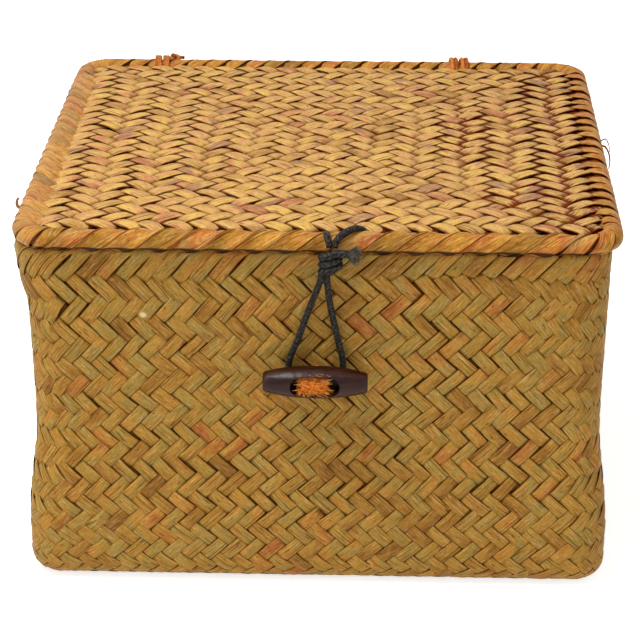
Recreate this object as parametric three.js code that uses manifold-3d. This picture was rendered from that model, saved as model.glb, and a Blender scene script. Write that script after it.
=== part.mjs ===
// A woven storage basket: a four-cornered body, a flat lid tied on at the back, and a barrel toggle
// with a cord loop that keeps it shut. Millimetres, +Z up, +Y to the back, +X to the right.
// The origin is the middle of the underside of the floor, on the surface that the basket stands on.

import * as THREE from "three";
import { mergeVertices } from "three/addons/utils/BufferGeometryUtils.js";
import Module from "manifold-3d";

const wasm = await Module();
wasm.setup();

// Body
const BODY_BELLY_WIDTH = 229.4;
const BODY_WAIST_WIDTH = 221.2;
const BODY_RIM_WIDTH = 223.2;
const BODY_BELLY_DEPTH = 215.4;
const BODY_WAIST_DEPTH = 207.2;
const BODY_RIM_DEPTH = 209.2;
const BODY_HEIGHT = 140.3;
const BELLY_HEIGHT = 22;
const WAIST_HEIGHT = 68;
const BODY_CORNER_RADIUS = 13;
const FOLD_RADIUS = 9; // where the floor turns up into the walls
const WALL = 2.4; // two layers of strip, one over the other
const RIM_ROLL_DIAMETER = 5.6; // the rolled edge inside the mouth

// Lid
const LID_WIDTH = 230;
const LID_DEPTH = 216;
const LID_CORNER_RADIUS = 15;
const LID_ROLL_DIAMETER = 8.6; // the rolled edge all round the lid
const LID_LIFT = 0.7; // from the body's rim to the underside of the lid's roll
const LID_PANEL = 2.4;
const LID_PANEL_DROP = 1; // from the top of the roll down to the top of the panel

// Hinge ties, two turns of flat strip round both rolled edges at the back
const TIE_LEFT_INSET = 35.6; // from the left end of the body's rim
const TIE_RIGHT_INSET = 52.1; // from its right end
const TIE_TURNS = 2;
const TIE_LEFT_STRIP = 2.6;
const TIE_RIGHT_STRIP = 3.8;
const TIE_THICKNESS = 1.7;
const TIE_STRIP_GAP = 0.9;
const TIE_KNOT_LENGTH = 8;
const TIE_KNOT_WIDTH = 5;
const TIE_KNOT_THICKNESS = 2.4;
const TIE_LEFT_KNOT_ANGLE = 150; // round the roll, from the front over the top to the back
const TIE_RIGHT_KNOT_ANGLE = 195;
const TIE_LEFT_KNOT_SHIFT = 3.4; // from the middle of the strips, to the right
const TIE_RIGHT_KNOT_SHIFT = 0;

// Toggle on the front wall, and the fibre cord that holds it
const TOGGLE_LENGTH = 39.6;
const TOGGLE_DIAMETER = 12.4;
const TOGGLE_END_DIAMETER = 7.8;
const TOGGLE_WORN_EDGE = 0.7; // round each blunt end
const TOGGLE_HEIGHT = 91.7;
const SLOT_LENGTH = 18.8;
const SLOT_WIDTH = 7.7;
const SLOT_DEPTH = 8.6;
const STEM_DIAMETER = 5;
const STEM_PROUD = 1; // how far the cord's end stands up from the floor of the slot
const TUFT_LENGTH = 15;
const TUFT_WIDTH = 6.9;
const TUFT_PROUD = -0.3; // from the front of the barrel, inwards if negative
const STOPPER_TURNS = 2;
const STOPPER_CORD = 3;
const STOPPER_SPACE = 0.6; // between its turns

// Black closure cord: hitch over the lid's roll, wound knot, and the loop that hooks the toggle
const CORD_DIAMETER = 2.5;
const HITCH_LEFT_X = 3.9; // where the cord's left strand goes down into the lid
const HITCH_RIGHT_X = 17.4;
const HITCH_STAGGER = 1.4; // how much further back the right strand goes down
const KNOT_X = 5.6;
const KNOT_WIDTH = 9;
const KNOT_DEPTH = 7.2;
const KNOT_TURNS = 2.25;
const KNOT_PITCH = 3.05;
const KNOT_TAIL = 7.4;
const KNOT_DROP = 0.3; // from the middle of the lid's roll down to the knot's top
const LOOP_SHIFT = 4; // from the middle of the knot to the left leg of the loop
const LOOP_SPREAD = 10.3; // each way behind the toggle
const LOOP_SLACK = 1.6; // below the toggle's cord

// Clearances
const GAP = 0.35; // between pieces that touch
const TUCK = 0.45; // beside a cord that passes through or along something

// Faces on round stretches
const CORNER_STEPS = 6;
const ROLL_SIDES = 12;
const HOLE_SIDES = 20;
const CORD_SIDES = 8;
const TURN_STEPS = 24;
const WINDING_SIDES = 6;

// Worked out from the sizes above
const RIM_ROLL = RIM_ROLL_DIAMETER / 2;
const LID_ROLL = LID_ROLL_DIAMETER / 2;
const CORD = CORD_DIAMETER / 2;
const LID_Z = BODY_HEIGHT + LID_LIFT + LID_ROLL; // height of the middle of the lid's roll
const HINGE_Y = LID_DEPTH / 2 - LID_ROLL; // the lid turns about the middle of its back roll
const FRONT_ROLL_Y = -HINGE_Y;
const RIM_ROLL_Z = BODY_HEIGHT - RIM_ROLL;
const PANEL_TOP = LID_Z + LID_ROLL - LID_PANEL_DROP;
const PANEL_BOTTOM = PANEL_TOP - LID_PANEL;

const ease = (t) => t * t * (3 - 2 * t);
const radians = THREE.MathUtils.degToRad;

// A size of the body at height z, from its belly through its waist to its rim
function bodySize(belly, waist, rim, z) {
  if (z <= BELLY_HEIGHT) return belly;
  if (z <= WAIST_HEIGHT) {
    return belly + (waist - belly) * ease((z - BELLY_HEIGHT) / (WAIST_HEIGHT - BELLY_HEIGHT));
  }
  return waist + (rim - waist) * ease((z - WAIST_HEIGHT) / (BODY_HEIGHT - WAIST_HEIGHT));
}

const bodyHalfWidth = (z) => bodySize(BODY_BELLY_WIDTH, BODY_WAIST_WIDTH, BODY_RIM_WIDTH, z) / 2;
const bodyHalfDepth = (z) => bodySize(BODY_BELLY_DEPTH, BODY_WAIST_DEPTH, BODY_RIM_DEPTH, z) / 2;

// A rectangle with round corners, as points that run counter-clockwise seen from above
function roundedRectangle(halfWidth, halfDepth, radius, z) {
  const corners = [
    [1, 1],
    [-1, 1],
    [-1, -1],
    [1, -1],
  ];
  return corners.flatMap(([x, y], corner) =>
    Array.from({ length: CORNER_STEPS + 1 }, (_, step) => {
      const angle = radians(90 * (corner + step / CORNER_STEPS));
      return new THREE.Vector3(
        x * (halfWidth - radius) + radius * Math.cos(angle),
        y * (halfDepth - radius) + radius * Math.sin(angle),
        z,
      );
    }),
  );
}

// A closed surface through rings of equally many points, either capped at both ends or joined into a circuit
function skin(rings, circuit = false) {
  const count = rings[0].length;
  const points = rings.flat();
  const faces = [];
  const at = (ring, i) => (ring % rings.length) * count + (i % count);
  for (let ring = 0; ring < rings.length - (circuit ? 0 : 1); ring++) {
    for (let i = 0; i < count; i++) {
      faces.push(at(ring, i), at(ring, i + 1), at(ring + 1, i + 1));
      faces.push(at(ring, i), at(ring + 1, i + 1), at(ring + 1, i));
    }
  }
  if (!circuit) {
    const last = rings.length - 1;
    const middle = (ring) =>
      ring.reduce((sum, p) => sum.add(p), new THREE.Vector3()).divideScalar(count);
    const first = points.push(middle(rings[0]), middle(rings[last])) - 2;
    for (let i = 0; i < count; i++) {
      faces.push(first, at(0, i + 1), at(0, i));
      faces.push(first + 1, at(last, i), at(last, i + 1));
    }
  }
  return new THREE.BufferGeometry().setFromPoints(points).setIndex(faces);
}

// The outline of an oval section standing at a point, across the direction that the path takes there
function section(point, along, across, halfWide, halfThick, sides) {
  const side = across.clone().addScaledVector(along, -across.dot(along)).normalize();
  const up = along.clone().cross(side);
  return Array.from({ length: sides }, (_, i) => {
    const angle = (2 * Math.PI * i) / sides;
    return point
      .clone()
      .addScaledVector(side, halfWide * Math.cos(angle))
      .addScaledVector(up, halfThick * Math.sin(angle));
  });
}

// A strip or cord through a list of points, its width lying along the given direction
function strand(path, across, halfWide, halfThick, sides, circuit = false) {
  const last = path.length - 1;
  const rings = path.map((point, i) => {
    const before = path[circuit ? (i + last) % path.length : Math.max(i - 1, 0)];
    const after = path[circuit ? (i + 1) % path.length : Math.min(i + 1, last)];
    const along = after.clone().sub(before).normalize();
    return section(point, along, across, halfWide, halfThick, sides);
  });
  return skin(rings, circuit);
}

// A round cord along a smooth line through points chosen by hand, with flat ends
function cord(points, steps) {
  const outline = new THREE.Shape(
    Array.from({ length: CORD_SIDES }, (_, i) => {
      const angle = (2 * Math.PI * (i + 0.5)) / CORD_SIDES;
      return new THREE.Vector2(CORD * Math.cos(angle), CORD * Math.sin(angle));
    }),
  );
  const extrudePath = new THREE.CatmullRomCurve3(points.map((p) => new THREE.Vector3(...p)));
  return new THREE.ExtrudeGeometry(outline, { steps, extrudePath });
}

// The least gap that a winding keeps to itself, between places over a third of a turn apart along it
function leastGap(name, path, turnSteps, thickness) {
  let least = Infinity;
  const far = Math.round(turnSteps / 3);
  path.forEach((p, i) => {
    for (let j = i + far; j < path.length; j++) {
      least = Math.min(least, p.distanceTo(path[j]) - thickness);
    }
  });
  console.log(name + " keeps a least gap of " + least.toFixed(2) + " mm to itself");
}

// A helix round an upright oval, rising by the pitch each turn
function helix(turns, pitch, radiusX, radiusY, startAngle) {
  const steps = Math.round(turns * TURN_STEPS);
  return Array.from({ length: steps + 1 }, (_, i) => {
    const angle = radians(startAngle) + (2 * Math.PI * i) / TURN_STEPS;
    const z = pitch * (i / TURN_STEPS - turns / 2);
    return new THREE.Vector3(radiusX * Math.cos(angle), radiusY * Math.sin(angle), z);
  });
}

// Joins and cuts
function solidOf(geometry) {
  const bare = geometry.clone();
  bare.deleteAttribute("normal");
  bare.deleteAttribute("uv");
  const merged = mergeVertices(bare, 1e-4);
  return new wasm.Manifold(
    new wasm.Mesh({
      numProp: 3,
      vertProperties: merged.attributes.position.array,
      triVerts: new Uint32Array(merged.index.array),
    }),
  );
}

function geometryOf(solid) {
  const mesh = solid.getMesh();
  return new THREE.BufferGeometry()
    .setAttribute("position", new THREE.BufferAttribute(mesh.vertProperties, 3))
    .setIndex(new THREE.BufferAttribute(mesh.triVerts, 1));
}

const cut = (body, tools) =>
  geometryOf(tools.reduce((rest, tool) => rest.subtract(solidOf(tool)), solidOf(body)));
const join = (first, second) => geometryOf(solidOf(first).add(solidOf(second)));

function box(x0, x1, y0, y1, z0, z1) {
  return new THREE.BoxGeometry(x1 - x0, y1 - y0, z1 - z0).translate(
    (x0 + x1) / 2,
    (y0 + y1) / 2,
    (z0 + z1) / 2,
  );
}

// Where each hinge tie lies, and how wide its strips are together
const TIE_LEFT_X = TIE_LEFT_INSET - BODY_RIM_WIDTH / 2;
const TIE_RIGHT_X = BODY_RIM_WIDTH / 2 - TIE_RIGHT_INSET;
const ties = [
  {
    side: "left",
    x: TIE_LEFT_X,
    strip: TIE_LEFT_STRIP,
    knotX: TIE_LEFT_X + TIE_LEFT_KNOT_SHIFT,
    knotAngle: TIE_LEFT_KNOT_ANGLE,
  },
  {
    side: "right",
    x: TIE_RIGHT_X,
    strip: TIE_RIGHT_STRIP,
    knotX: TIE_RIGHT_X + TIE_RIGHT_KNOT_SHIFT,
    knotAngle: TIE_RIGHT_KNOT_ANGLE,
  },
];
for (const tie of ties) {
  tie.pitch = tie.strip + TIE_STRIP_GAP;
  tie.reach = (TIE_TURNS * tie.pitch + tie.strip) / 2;
}
const TIE = TIE_THICKNESS / 2;
const TIE_HOLE_TOP = RIM_ROLL_Z - RIM_ROLL;
const TIE_HOLE_BOTTOM = TIE_HOLE_TOP - 2 * GAP - TIE_THICKNESS;
const STEM_HOLE = STEM_DIAMETER / 2 + GAP;

// Woven body: floor, fold and waisted walls in one shell, open at the top
function bodyWeave() {
  const ring = (inset, z) =>
    roundedRectangle(
      bodyHalfWidth(z) - inset,
      bodyHalfDepth(z) - inset,
      Math.max(BODY_CORNER_RADIUS - inset, BODY_CORNER_RADIUS / 4),
      z,
    );
  const foldAngles = [0, 22.5, 45, 67.5];
  const outside = foldAngles.map((angle) =>
    ring(FOLD_RADIUS * (1 - Math.sin(radians(angle))), FOLD_RADIUS * (1 - Math.cos(radians(angle)))),
  );
  const wallHeights = [FOLD_RADIUS, BELLY_HEIGHT];
  const steps = 4;
  for (let i = 1; i <= steps; i++) {
    wallHeights.push(BELLY_HEIGHT + ((WAIST_HEIGHT - BELLY_HEIGHT) * i) / steps);
  }
  for (let i = 1; i < steps; i++) {
    wallHeights.push(WAIST_HEIGHT + ((BODY_HEIGHT - WAIST_HEIGHT) * i) / steps);
  }
  outside.push(...wallHeights.map((z) => ring(0, z)));
  const rim = [ring(0, BODY_HEIGHT - WALL / 4), ring(WALL / 4, BODY_HEIGHT)];
  rim.push(ring(WALL * 0.75, BODY_HEIGHT), ring(WALL, BODY_HEIGHT - WALL / 4));
  const innerFold = FOLD_RADIUS - WALL;
  const inside = wallHeights.reverse().map((z) => ring(WALL, z));
  for (const angle of foldAngles.reverse()) {
    const inset = WALL + innerFold * (1 - Math.sin(radians(angle)));
    inside.push(ring(inset, FOLD_RADIUS - innerFold * Math.cos(radians(angle))));
  }
  const shell = skin([...outside, ...rim, ...inside]);
  const stemHole = new THREE.CylinderGeometry(STEM_HOLE, STEM_HOLE, 6 * WALL, HOLE_SIDES).translate(
    0,
    -bodyHalfDepth(TOGGLE_HEIGHT),
    TOGGLE_HEIGHT,
  );
  const tieHoles = ties.map(({ x, reach }) =>
    box(
      x - reach - GAP,
      x + reach + GAP,
      BODY_RIM_DEPTH / 2 - 2 * WALL,
      BODY_RIM_DEPTH / 2 + 2 * WALL,
      TIE_HOLE_BOTTOM,
      TIE_HOLE_TOP,
    ),
  );
  return cut(shell, [stemHole, ...tieHoles]);
}

// A rolled edge: a round roll of folded strips that runs right round a rounded rectangle
function rolledEdge(halfWidth, halfDepth, cornerRadius, radius, z) {
  const path = roundedRectangle(halfWidth, halfDepth, cornerRadius, z);
  return strand(path, new THREE.Vector3(0, 0, 1), radius, radius, ROLL_SIDES, true);
}

function bodyRim() {
  const inset = WALL + GAP + RIM_ROLL;
  return rolledEdge(
    bodyHalfWidth(RIM_ROLL_Z) - inset,
    bodyHalfDepth(RIM_ROLL_Z) - inset,
    BODY_CORNER_RADIUS - inset,
    RIM_ROLL,
    RIM_ROLL_Z,
  );
}

function lidRim() {
  return rolledEdge(
    LID_WIDTH / 2 - LID_ROLL,
    LID_DEPTH / 2 - LID_ROLL,
    LID_CORNER_RADIUS - LID_ROLL,
    LID_ROLL,
    LID_Z,
  );
}

// Woven panel of the lid, with its edge hollowed to lie against the roll
function lidWeave() {
  const rings = [PANEL_BOTTOM, (PANEL_BOTTOM + PANEL_TOP) / 2, PANEL_TOP].map((z) => {
    const inset = LID_ROLL + Math.sqrt((LID_ROLL + GAP) ** 2 - (z - LID_Z) ** 2);
    return roundedRectangle(
      LID_WIDTH / 2 - inset,
      LID_DEPTH / 2 - inset,
      LID_CORNER_RADIUS - inset,
      z,
    );
  });
  const below = PANEL_BOTTOM - 1;
  const above = PANEL_TOP + 1;
  const knotReach = LID_ROLL + 2 * GAP + TIE_THICKNESS + TIE_KNOT_THICKNESS;
  const tieNotches = ties.map(({ x, reach, knotX }) => {
    const left = Math.min(x - reach, knotX - TIE_KNOT_LENGTH / 2) - TUCK;
    const right = Math.max(x + reach, knotX + TIE_KNOT_LENGTH / 2) + TUCK;
    return box(left, right, HINGE_Y - knotReach - TUCK, HINGE_Y, below, above);
  });
  const hitchNotches = hitchEntries.map(([x, y]) =>
    box(x - CORD - TUCK, x + CORD + TUCK, FRONT_ROLL_Y, y + CORD + TUCK, below, above),
  );
  return cut(skin(rings), [...tieNotches, ...hitchNotches]);
}

// One turn of a hinge tie, seen from the side: a tight outline round the lid's roll, the body's roll
// and the top of the hole in the wall, as equally spaced points that start behind the lid's roll
function tieOutline() {
  const circles = [
    [HINGE_Y, LID_Z, LID_ROLL + GAP + TIE],
    [bodyHalfDepth(RIM_ROLL_Z) - WALL - GAP - RIM_ROLL, RIM_ROLL_Z, RIM_ROLL + GAP + TIE],
    [BODY_RIM_DEPTH / 2, TIE_HOLE_TOP, GAP + TIE],
  ];
  const rim = circles.flatMap(([y, z, radius]) =>
    Array.from({ length: 90 }, (_, i) => {
      const angle = (2 * Math.PI * i) / 90;
      return new THREE.Vector2(y + radius * Math.cos(angle), z + radius * Math.sin(angle));
    }),
  );
  const hull = convexHull(rim);
  const start = hull.reduce((best, p, i) => (p.x > hull[best].x ? i : best), 0);
  const turned = [...hull.slice(start), ...hull.slice(0, start), hull[start]];
  const lengths = [0];
  turned.slice(1).forEach((p, i) => lengths.push(lengths[i] + p.distanceTo(turned[i])));
  const total = lengths[lengths.length - 1];
  return Array.from({ length: TURN_STEPS }, (_, step) => {
    const goal = (total * step) / TURN_STEPS;
    const i = lengths.findIndex((length) => length > goal);
    const share = (goal - lengths[i - 1]) / (lengths[i] - lengths[i - 1]);
    return turned[i - 1].clone().lerp(turned[i], share);
  });
}

// The convex outline of flat points, counter-clockwise
function convexHull(points) {
  const sorted = [...points].sort((a, b) => a.x - b.x || a.y - b.y);
  const half = (list) => {
    const chain = [];
    for (const p of list) {
      while (chain.length > 1) {
        const [a, b] = chain.slice(-2);
        if ((b.x - a.x) * (p.y - a.y) - (b.y - a.y) * (p.x - a.x) > 1e-9) break;
        chain.pop();
      }
      chain.push(p);
    }
    return chain.slice(0, -1);
  };
  return [...half(sorted), ...half(sorted.reverse())];
}

// Hinge tie: an unbroken flat strip wound round both rolled edges
function hingeTie(tie) {
  const outline = tieOutline();
  const steps = TIE_TURNS * TURN_STEPS;
  const path = Array.from({ length: steps + 1 }, (_, i) => {
    const at = outline[i % TURN_STEPS];
    const x = tie.x + tie.pitch * (i / TURN_STEPS - TIE_TURNS / 2);
    return new THREE.Vector3(x, at.x, at.y);
  });
  leastGap("hinge_tie_" + tie.side, path, TURN_STEPS, tie.strip);
  return strand(path, new THREE.Vector3(1, 0, 0), tie.strip / 2, TIE, CORD_SIDES);
}

// Knot of a hinge tie: a flat lump of twine that lies on the strips
function hingeKnot(tie) {
  const angle = radians(tie.knotAngle);
  const reach = LID_ROLL + 2 * GAP + TIE_THICKNESS + TIE_KNOT_THICKNESS / 2;
  return new THREE.SphereGeometry(1, 14, 8)
    .scale(TIE_KNOT_LENGTH / 2, TIE_KNOT_THICKNESS / 2, TIE_KNOT_WIDTH / 2)
    .rotateX(-angle)
    .translate(tie.knotX, HINGE_Y - reach * Math.cos(angle), LID_Z + reach * Math.sin(angle));
}

// Toggle, in its own frame: the barrel lies along X, the cord that holds it runs along Y
const TOGGLE_Y = -(
  bodyHalfDepth(TOGGLE_HEIGHT) +
  2 * TUCK +
  CORD_DIAMETER +
  TOGGLE_DIAMETER / 2
);
const SLOT_FLOOR_Y = -TOGGLE_DIAMETER / 2 + SLOT_DEPTH;

function slotShape(length, width) {
  const round = width / 2;
  const straight = length / 2 - round;
  const outline = new THREE.Shape();
  outline.moveTo(-straight, -round);
  outline.lineTo(straight, -round);
  outline.absarc(straight, 0, round, -Math.PI / 2, Math.PI / 2);
  outline.lineTo(-straight, round);
  outline.absarc(-straight, 0, round, Math.PI / 2, 1.5 * Math.PI);
  return outline;
}

function toggleBarrel() {
  const half = TOGGLE_LENGTH / 2;
  const end = TOGGLE_END_DIAMETER / 2;
  const face = end - TOGGLE_WORN_EDGE;
  const profile = [new THREE.Vector2(0, -half), new THREE.Vector2(face, -half)];
  const steps = 12;
  for (let i = 0; i <= steps; i++) {
    const along = -1 + (2 * i) / steps;
    const swell = 1 - Math.abs(along) ** 2.3;
    const radius = end + (TOGGLE_DIAMETER / 2 - end) * swell;
    profile.push(new THREE.Vector2(radius, along * (half - TOGGLE_WORN_EDGE)));
  }
  profile.push(new THREE.Vector2(face, half), new THREE.Vector2(0, half));
  const barrel = new THREE.LatheGeometry(profile, 32).rotateZ(-Math.PI / 2);
  const slot = new THREE.ExtrudeGeometry(slotShape(SLOT_LENGTH, SLOT_WIDTH), {
    depth: 2 * SLOT_DEPTH,
    bevelEnabled: false,
    curveSegments: 10,
  })
    .rotateX(Math.PI / 2)
    .translate(0, SLOT_FLOOR_Y, 0);
  const stemHole = new THREE.CylinderGeometry(STEM_HOLE, STEM_HOLE, 2 * TOGGLE_DIAMETER, HOLE_SIDES)
    .translate(0, TOGGLE_DIAMETER + SLOT_FLOOR_Y - STEM_PROUD, 0);
  return cut(barrel, [slot, stemHole]);
}

// Frayed end of the fibre cord, which fills the middle of the slot
function toggleTuft() {
  const back = SLOT_FLOOR_Y - STEM_PROUD - 2 * GAP;
  const front = -TOGGLE_DIAMETER / 2 - TUFT_PROUD;
  const stages = [
    [0, 0.8],
    [0.35, 1],
    [0.8, 0.96],
    [0.95, 0.8],
    [1, 0.5],
  ];
  const sides = 20;
  const rings = stages.map(([way, share]) =>
    Array.from({ length: sides }, (_, i) => {
      const angle = (2 * Math.PI * i) / sides;
      const square = (v) => Math.sign(v) * Math.abs(v) ** 0.75;
      const x = (TUFT_LENGTH / 2) * share * square(Math.cos(angle));
      const z = (TUFT_WIDTH / 2) * share * square(Math.sin(angle));
      return new THREE.Vector3(x, back + (front - back) * way, z);
    }),
  );
  return skin(rings);
}

// Fibre cord from the stopper inside the wall, through the wall, into the toggle's slot
const STOPPER_PITCH = STOPPER_CORD + STOPPER_SPACE;
const WALL_INSIDE_Y = -(bodyHalfDepth(TOGGLE_HEIGHT) - WALL);

function toggleStem() {
  const inner = WALL_INSIDE_Y + 3 * TUCK + STOPPER_TURNS * STOPPER_PITCH;
  const outer = TOGGLE_Y + SLOT_FLOOR_Y - STEM_PROUD;
  const radius = STEM_DIAMETER / 2;
  return new THREE.CylinderGeometry(radius, radius, inner - outer, 16).translate(
    0,
    (inner + outer) / 2,
    TOGGLE_HEIGHT,
  );
}

// Stopper inside the wall: the fibre cord's end wound round its own stem
function stopperKnot() {
  const half = STOPPER_CORD / 2;
  const radius = STEM_DIAMETER / 2 + TUCK + half;
  const path = helix(STOPPER_TURNS, STOPPER_PITCH, radius, radius, 90);
  leastGap("toggle_stopper", path, TURN_STEPS, STOPPER_CORD);
  const middle = WALL_INSIDE_Y + TUCK + (STOPPER_TURNS * STOPPER_PITCH) / 2 + half;
  return strand(path, new THREE.Vector3(0, 0, 1), half, half, WINDING_SIDES)
    .rotateX(-Math.PI / 2)
    .translate(0, middle, TOGGLE_HEIGHT);
}

// Closure cord
const KNOT_HEIGHT = KNOT_TURNS * KNOT_PITCH + CORD_DIAMETER;
const KNOT_Y = FRONT_ROLL_Y - LID_ROLL - GAP - KNOT_DEPTH / 2;
const KNOT_TOP = LID_Z - KNOT_DROP;
const KNOT_Z = KNOT_TOP - KNOT_HEIGHT / 2;
const HITCH_RADIUS = LID_ROLL + TUCK + CORD;
const HITCH_LEFT_Y = FRONT_ROLL_Y + HITCH_RADIUS;
const HITCH_RIGHT_Y = HITCH_LEFT_Y + HITCH_STAGGER;
const hitchEntries = [
  [HITCH_LEFT_X, HITCH_LEFT_Y],
  [HITCH_RIGHT_X, HITCH_RIGHT_Y],
];

// Hitch: up from the knot, over the roll, down into the lid, along under the panel, and back again
function closureHitch() {
  const over = (angle, x, lift = 0) => {
    const a = radians(angle);
    const radius = HITCH_RADIUS + lift;
    return [x, FRONT_ROLL_Y - radius * Math.cos(a), LID_Z + radius * Math.sin(a)];
  };
  const under = PANEL_BOTTOM - TUCK - CORD;
  const down = LID_Z + LID_ROLL / 2;
  const half = CORD + GAP / 2;
  const left = KNOT_X - half;
  const right = KNOT_X + half;
  const knotY = KNOT_Y + KNOT_DEPTH / 5;
  const points = [
    [left, knotY, KNOT_TOP + GAP],
    over(20, left - 0.2, 0.4),
    over(45, left - 0.3, 0.1),
    over(90, HITCH_LEFT_X),
    over(140, HITCH_LEFT_X),
    [HITCH_LEFT_X, HITCH_LEFT_Y, down],
    [HITCH_LEFT_X + 0.6, HITCH_LEFT_Y, under],
    [HITCH_LEFT_X + 3.5, HITCH_LEFT_Y, under - 0.6],
    [HITCH_RIGHT_X - 3.5, HITCH_RIGHT_Y, under - 0.6],
    [HITCH_RIGHT_X - 0.6, HITCH_RIGHT_Y, under],
    [HITCH_RIGHT_X, HITCH_RIGHT_Y, down],
    over(140, HITCH_RIGHT_X - 0.6, 1),
    over(105, HITCH_RIGHT_X - 4.4, 0.3),
    over(65, right + 3.4),
    over(42, right + 1.4, 0.1),
    over(20, right + 0.3, 0.4),
    [right, knotY, KNOT_TOP + GAP],
  ];
  return cord(points, 56);
}

// Knot: the cord's end wound round both strands, leaving to the right as a short tail
function closureKnot() {
  const radiusX = KNOT_WIDTH / 2 - CORD;
  const radiusY = KNOT_DEPTH / 2 - CORD;
  const path = helix(KNOT_TURNS, KNOT_PITCH, radiusX, radiusY, 180);
  const end = path[path.length - 1];
  const beside = KNOT_WIDTH / 2;
  const tail = [
    [beside * 0.5, -0.35, 0.35],
    [beside, -0.6, 0.35],
    [beside + KNOT_TAIL * 0.35, -0.4, -0.5],
    [beside + KNOT_TAIL * 0.7, 0, -1.2],
    [beside + KNOT_TAIL, 0.2, -1.5],
  ];
  for (const [x, y, z] of tail) path.push(new THREE.Vector3(x, y, z).add(end));
  leastGap("closure_knot", path, TURN_STEPS, CORD_DIAMETER);
  const wound = strand(path, new THREE.Vector3(0, 0, 1), CORD, CORD, WINDING_SIDES);
  const core = new THREE.CylinderGeometry(1, 1, KNOT_HEIGHT - CORD_DIAMETER / 2, 16)
    .rotateX(Math.PI / 2)
    .scale(radiusX - CORD / 2, radiusY - CORD / 2, 1);
  return join(core, wound).translate(KNOT_X, KNOT_Y, KNOT_Z);
}

// Loop: down from the knot, spread behind the toggle and round under the cord that holds it
function closureLoop() {
  const wallY = (z) => -(bodyHalfDepth(z) + TUCK + CORD);
  const top = KNOT_Z - KNOT_HEIGHT / 2 - GAP;
  const bottom = TOGGLE_HEIGHT - STEM_DIAMETER / 2 - TUCK - CORD - LOOP_SLACK;
  const left = KNOT_X - LOOP_SHIFT;
  const right = left + CORD_DIAMETER + GAP;
  const proud = wallY(top) - KNOT_Y - CORD;

  // A leg's points: shares of the way down, of the way out to the side, and of its distance from the wall
  const leg = (x, side, stages) =>
    stages.map(([way, out, away]) => {
      const z = top + (bottom - top) * way;
      return [x + (side * LOOP_SPREAD - x) * out, wallY(z) - proud * away, z];
    });
  const points = [
    ...leg(left, -1, [
      [0, 0, 1],
      [0.08, 0.03, 0.8],
      [0.29, 0.28, 0.15],
      [0.57, 0.67, 0],
      [0.82, 1, 0],
      [0.945, 0.83, 0],
    ]),
    [0, wallY(bottom), bottom],
    ...leg(right, 1, [
      [0.945, 0.62, 0],
      [0.82, 1, 0],
      [0.57, 0.61, 0],
      [0.29, 0.15, 0.15],
      [0.08, 0.02, 0.8],
      [0, 0, 1],
    ]),
  ];
  return cord(points, 60);
}

// Materials, and the basket put together
const material = (color, roughness) =>
  new THREE.MeshStandardMaterial({ color, roughness, metalness: 0 });
const strip = () => material(0xa8874c, 0.75);
const lidStrip = () => material(0xd6ad68, 0.7);
const roll = () => material(0xb98238, 0.65);
const twine = () => material(0x8f5a35, 0.8);
const wood = () => material(0x3c2427, 0.4);
const fibre = () => material(0xc9702c, 0.9);
const blackCord = () => material(0x2a2b2d, 0.7);

function named(name, geometry, surface) {
  const mesh = new THREE.Mesh(geometry, surface);
  mesh.name = name;
  return mesh;
}

const body = new THREE.Group();
body.add(
  named("body_weave", bodyWeave(), strip()),
  named("body_rim_roll", bodyRim(), roll()),
  named("toggle_stem", toggleStem(), fibre()),
  named("toggle_stopper", stopperKnot(), fibre()),
);
for (const tie of ties) {
  body.add(named("hinge_tie_" + tie.side, hingeTie(tie), twine()));
  body.add(named("hinge_knot_" + tie.side, hingeKnot(tie), twine()));
}

const lid = new THREE.Group();
lid.add(
  named("lid_weave", lidWeave(), lidStrip()),
  named("lid_rim_roll", lidRim(), roll()),
  named("closure_hitch", closureHitch(), blackCord()),
  named("closure_knot", closureKnot(), blackCord()),
  named("closure_loop", closureLoop(), blackCord()),
);

const toggle = new THREE.Group();
toggle.position.set(0, TOGGLE_Y, TOGGLE_HEIGHT);
toggle.add(
  named("toggle_barrel", toggleBarrel(), wood()),
  named("toggle_tuft", toggleTuft(), fibre()),
);

const basket = new THREE.Group();
basket.add(body, lid, toggle);

export default basket;
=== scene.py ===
# %% [markdown]
# # A lidded basket of plaited leaf strips
# This lesson dresses a finished model of a small storage basket. The body and the lid are plaited from
# flat strips of dried leaf in a twill (over two, under two), the lid is tied on at the back, and a
# wooden toggle with a black cord loop keeps it shut. The model gives every place and size.

import math
from functools import partial

import bpy
import numpy as np
from mathutils import Matrix, Vector


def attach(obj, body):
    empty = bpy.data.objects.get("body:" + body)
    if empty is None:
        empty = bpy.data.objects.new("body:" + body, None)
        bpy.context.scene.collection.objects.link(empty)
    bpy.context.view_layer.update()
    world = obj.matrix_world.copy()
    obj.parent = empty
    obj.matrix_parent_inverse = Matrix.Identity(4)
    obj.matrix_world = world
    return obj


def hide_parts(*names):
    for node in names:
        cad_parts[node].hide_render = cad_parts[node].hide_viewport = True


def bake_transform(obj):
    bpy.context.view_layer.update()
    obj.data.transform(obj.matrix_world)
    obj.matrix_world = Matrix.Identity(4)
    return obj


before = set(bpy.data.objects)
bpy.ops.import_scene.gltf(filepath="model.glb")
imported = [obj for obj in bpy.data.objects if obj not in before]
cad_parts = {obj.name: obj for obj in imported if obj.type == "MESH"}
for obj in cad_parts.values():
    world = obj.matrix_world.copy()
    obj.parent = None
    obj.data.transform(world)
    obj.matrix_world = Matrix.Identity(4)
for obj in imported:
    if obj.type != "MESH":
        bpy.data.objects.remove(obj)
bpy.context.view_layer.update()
MM = 0.001

# %% [markdown]
# ## Camera, light and floor
# The camera stands in front of the basket, a little above it, with a long lens, so the sides hardly
# converge. The light is a large soft box overhead and two weak ones, as in a product studio.


# %% Camera
def placed(name, data):
    """A new object in the scene."""
    made = bpy.data.objects.new(name, data)
    bpy.context.scene.collection.objects.link(made)
    return made


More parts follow.
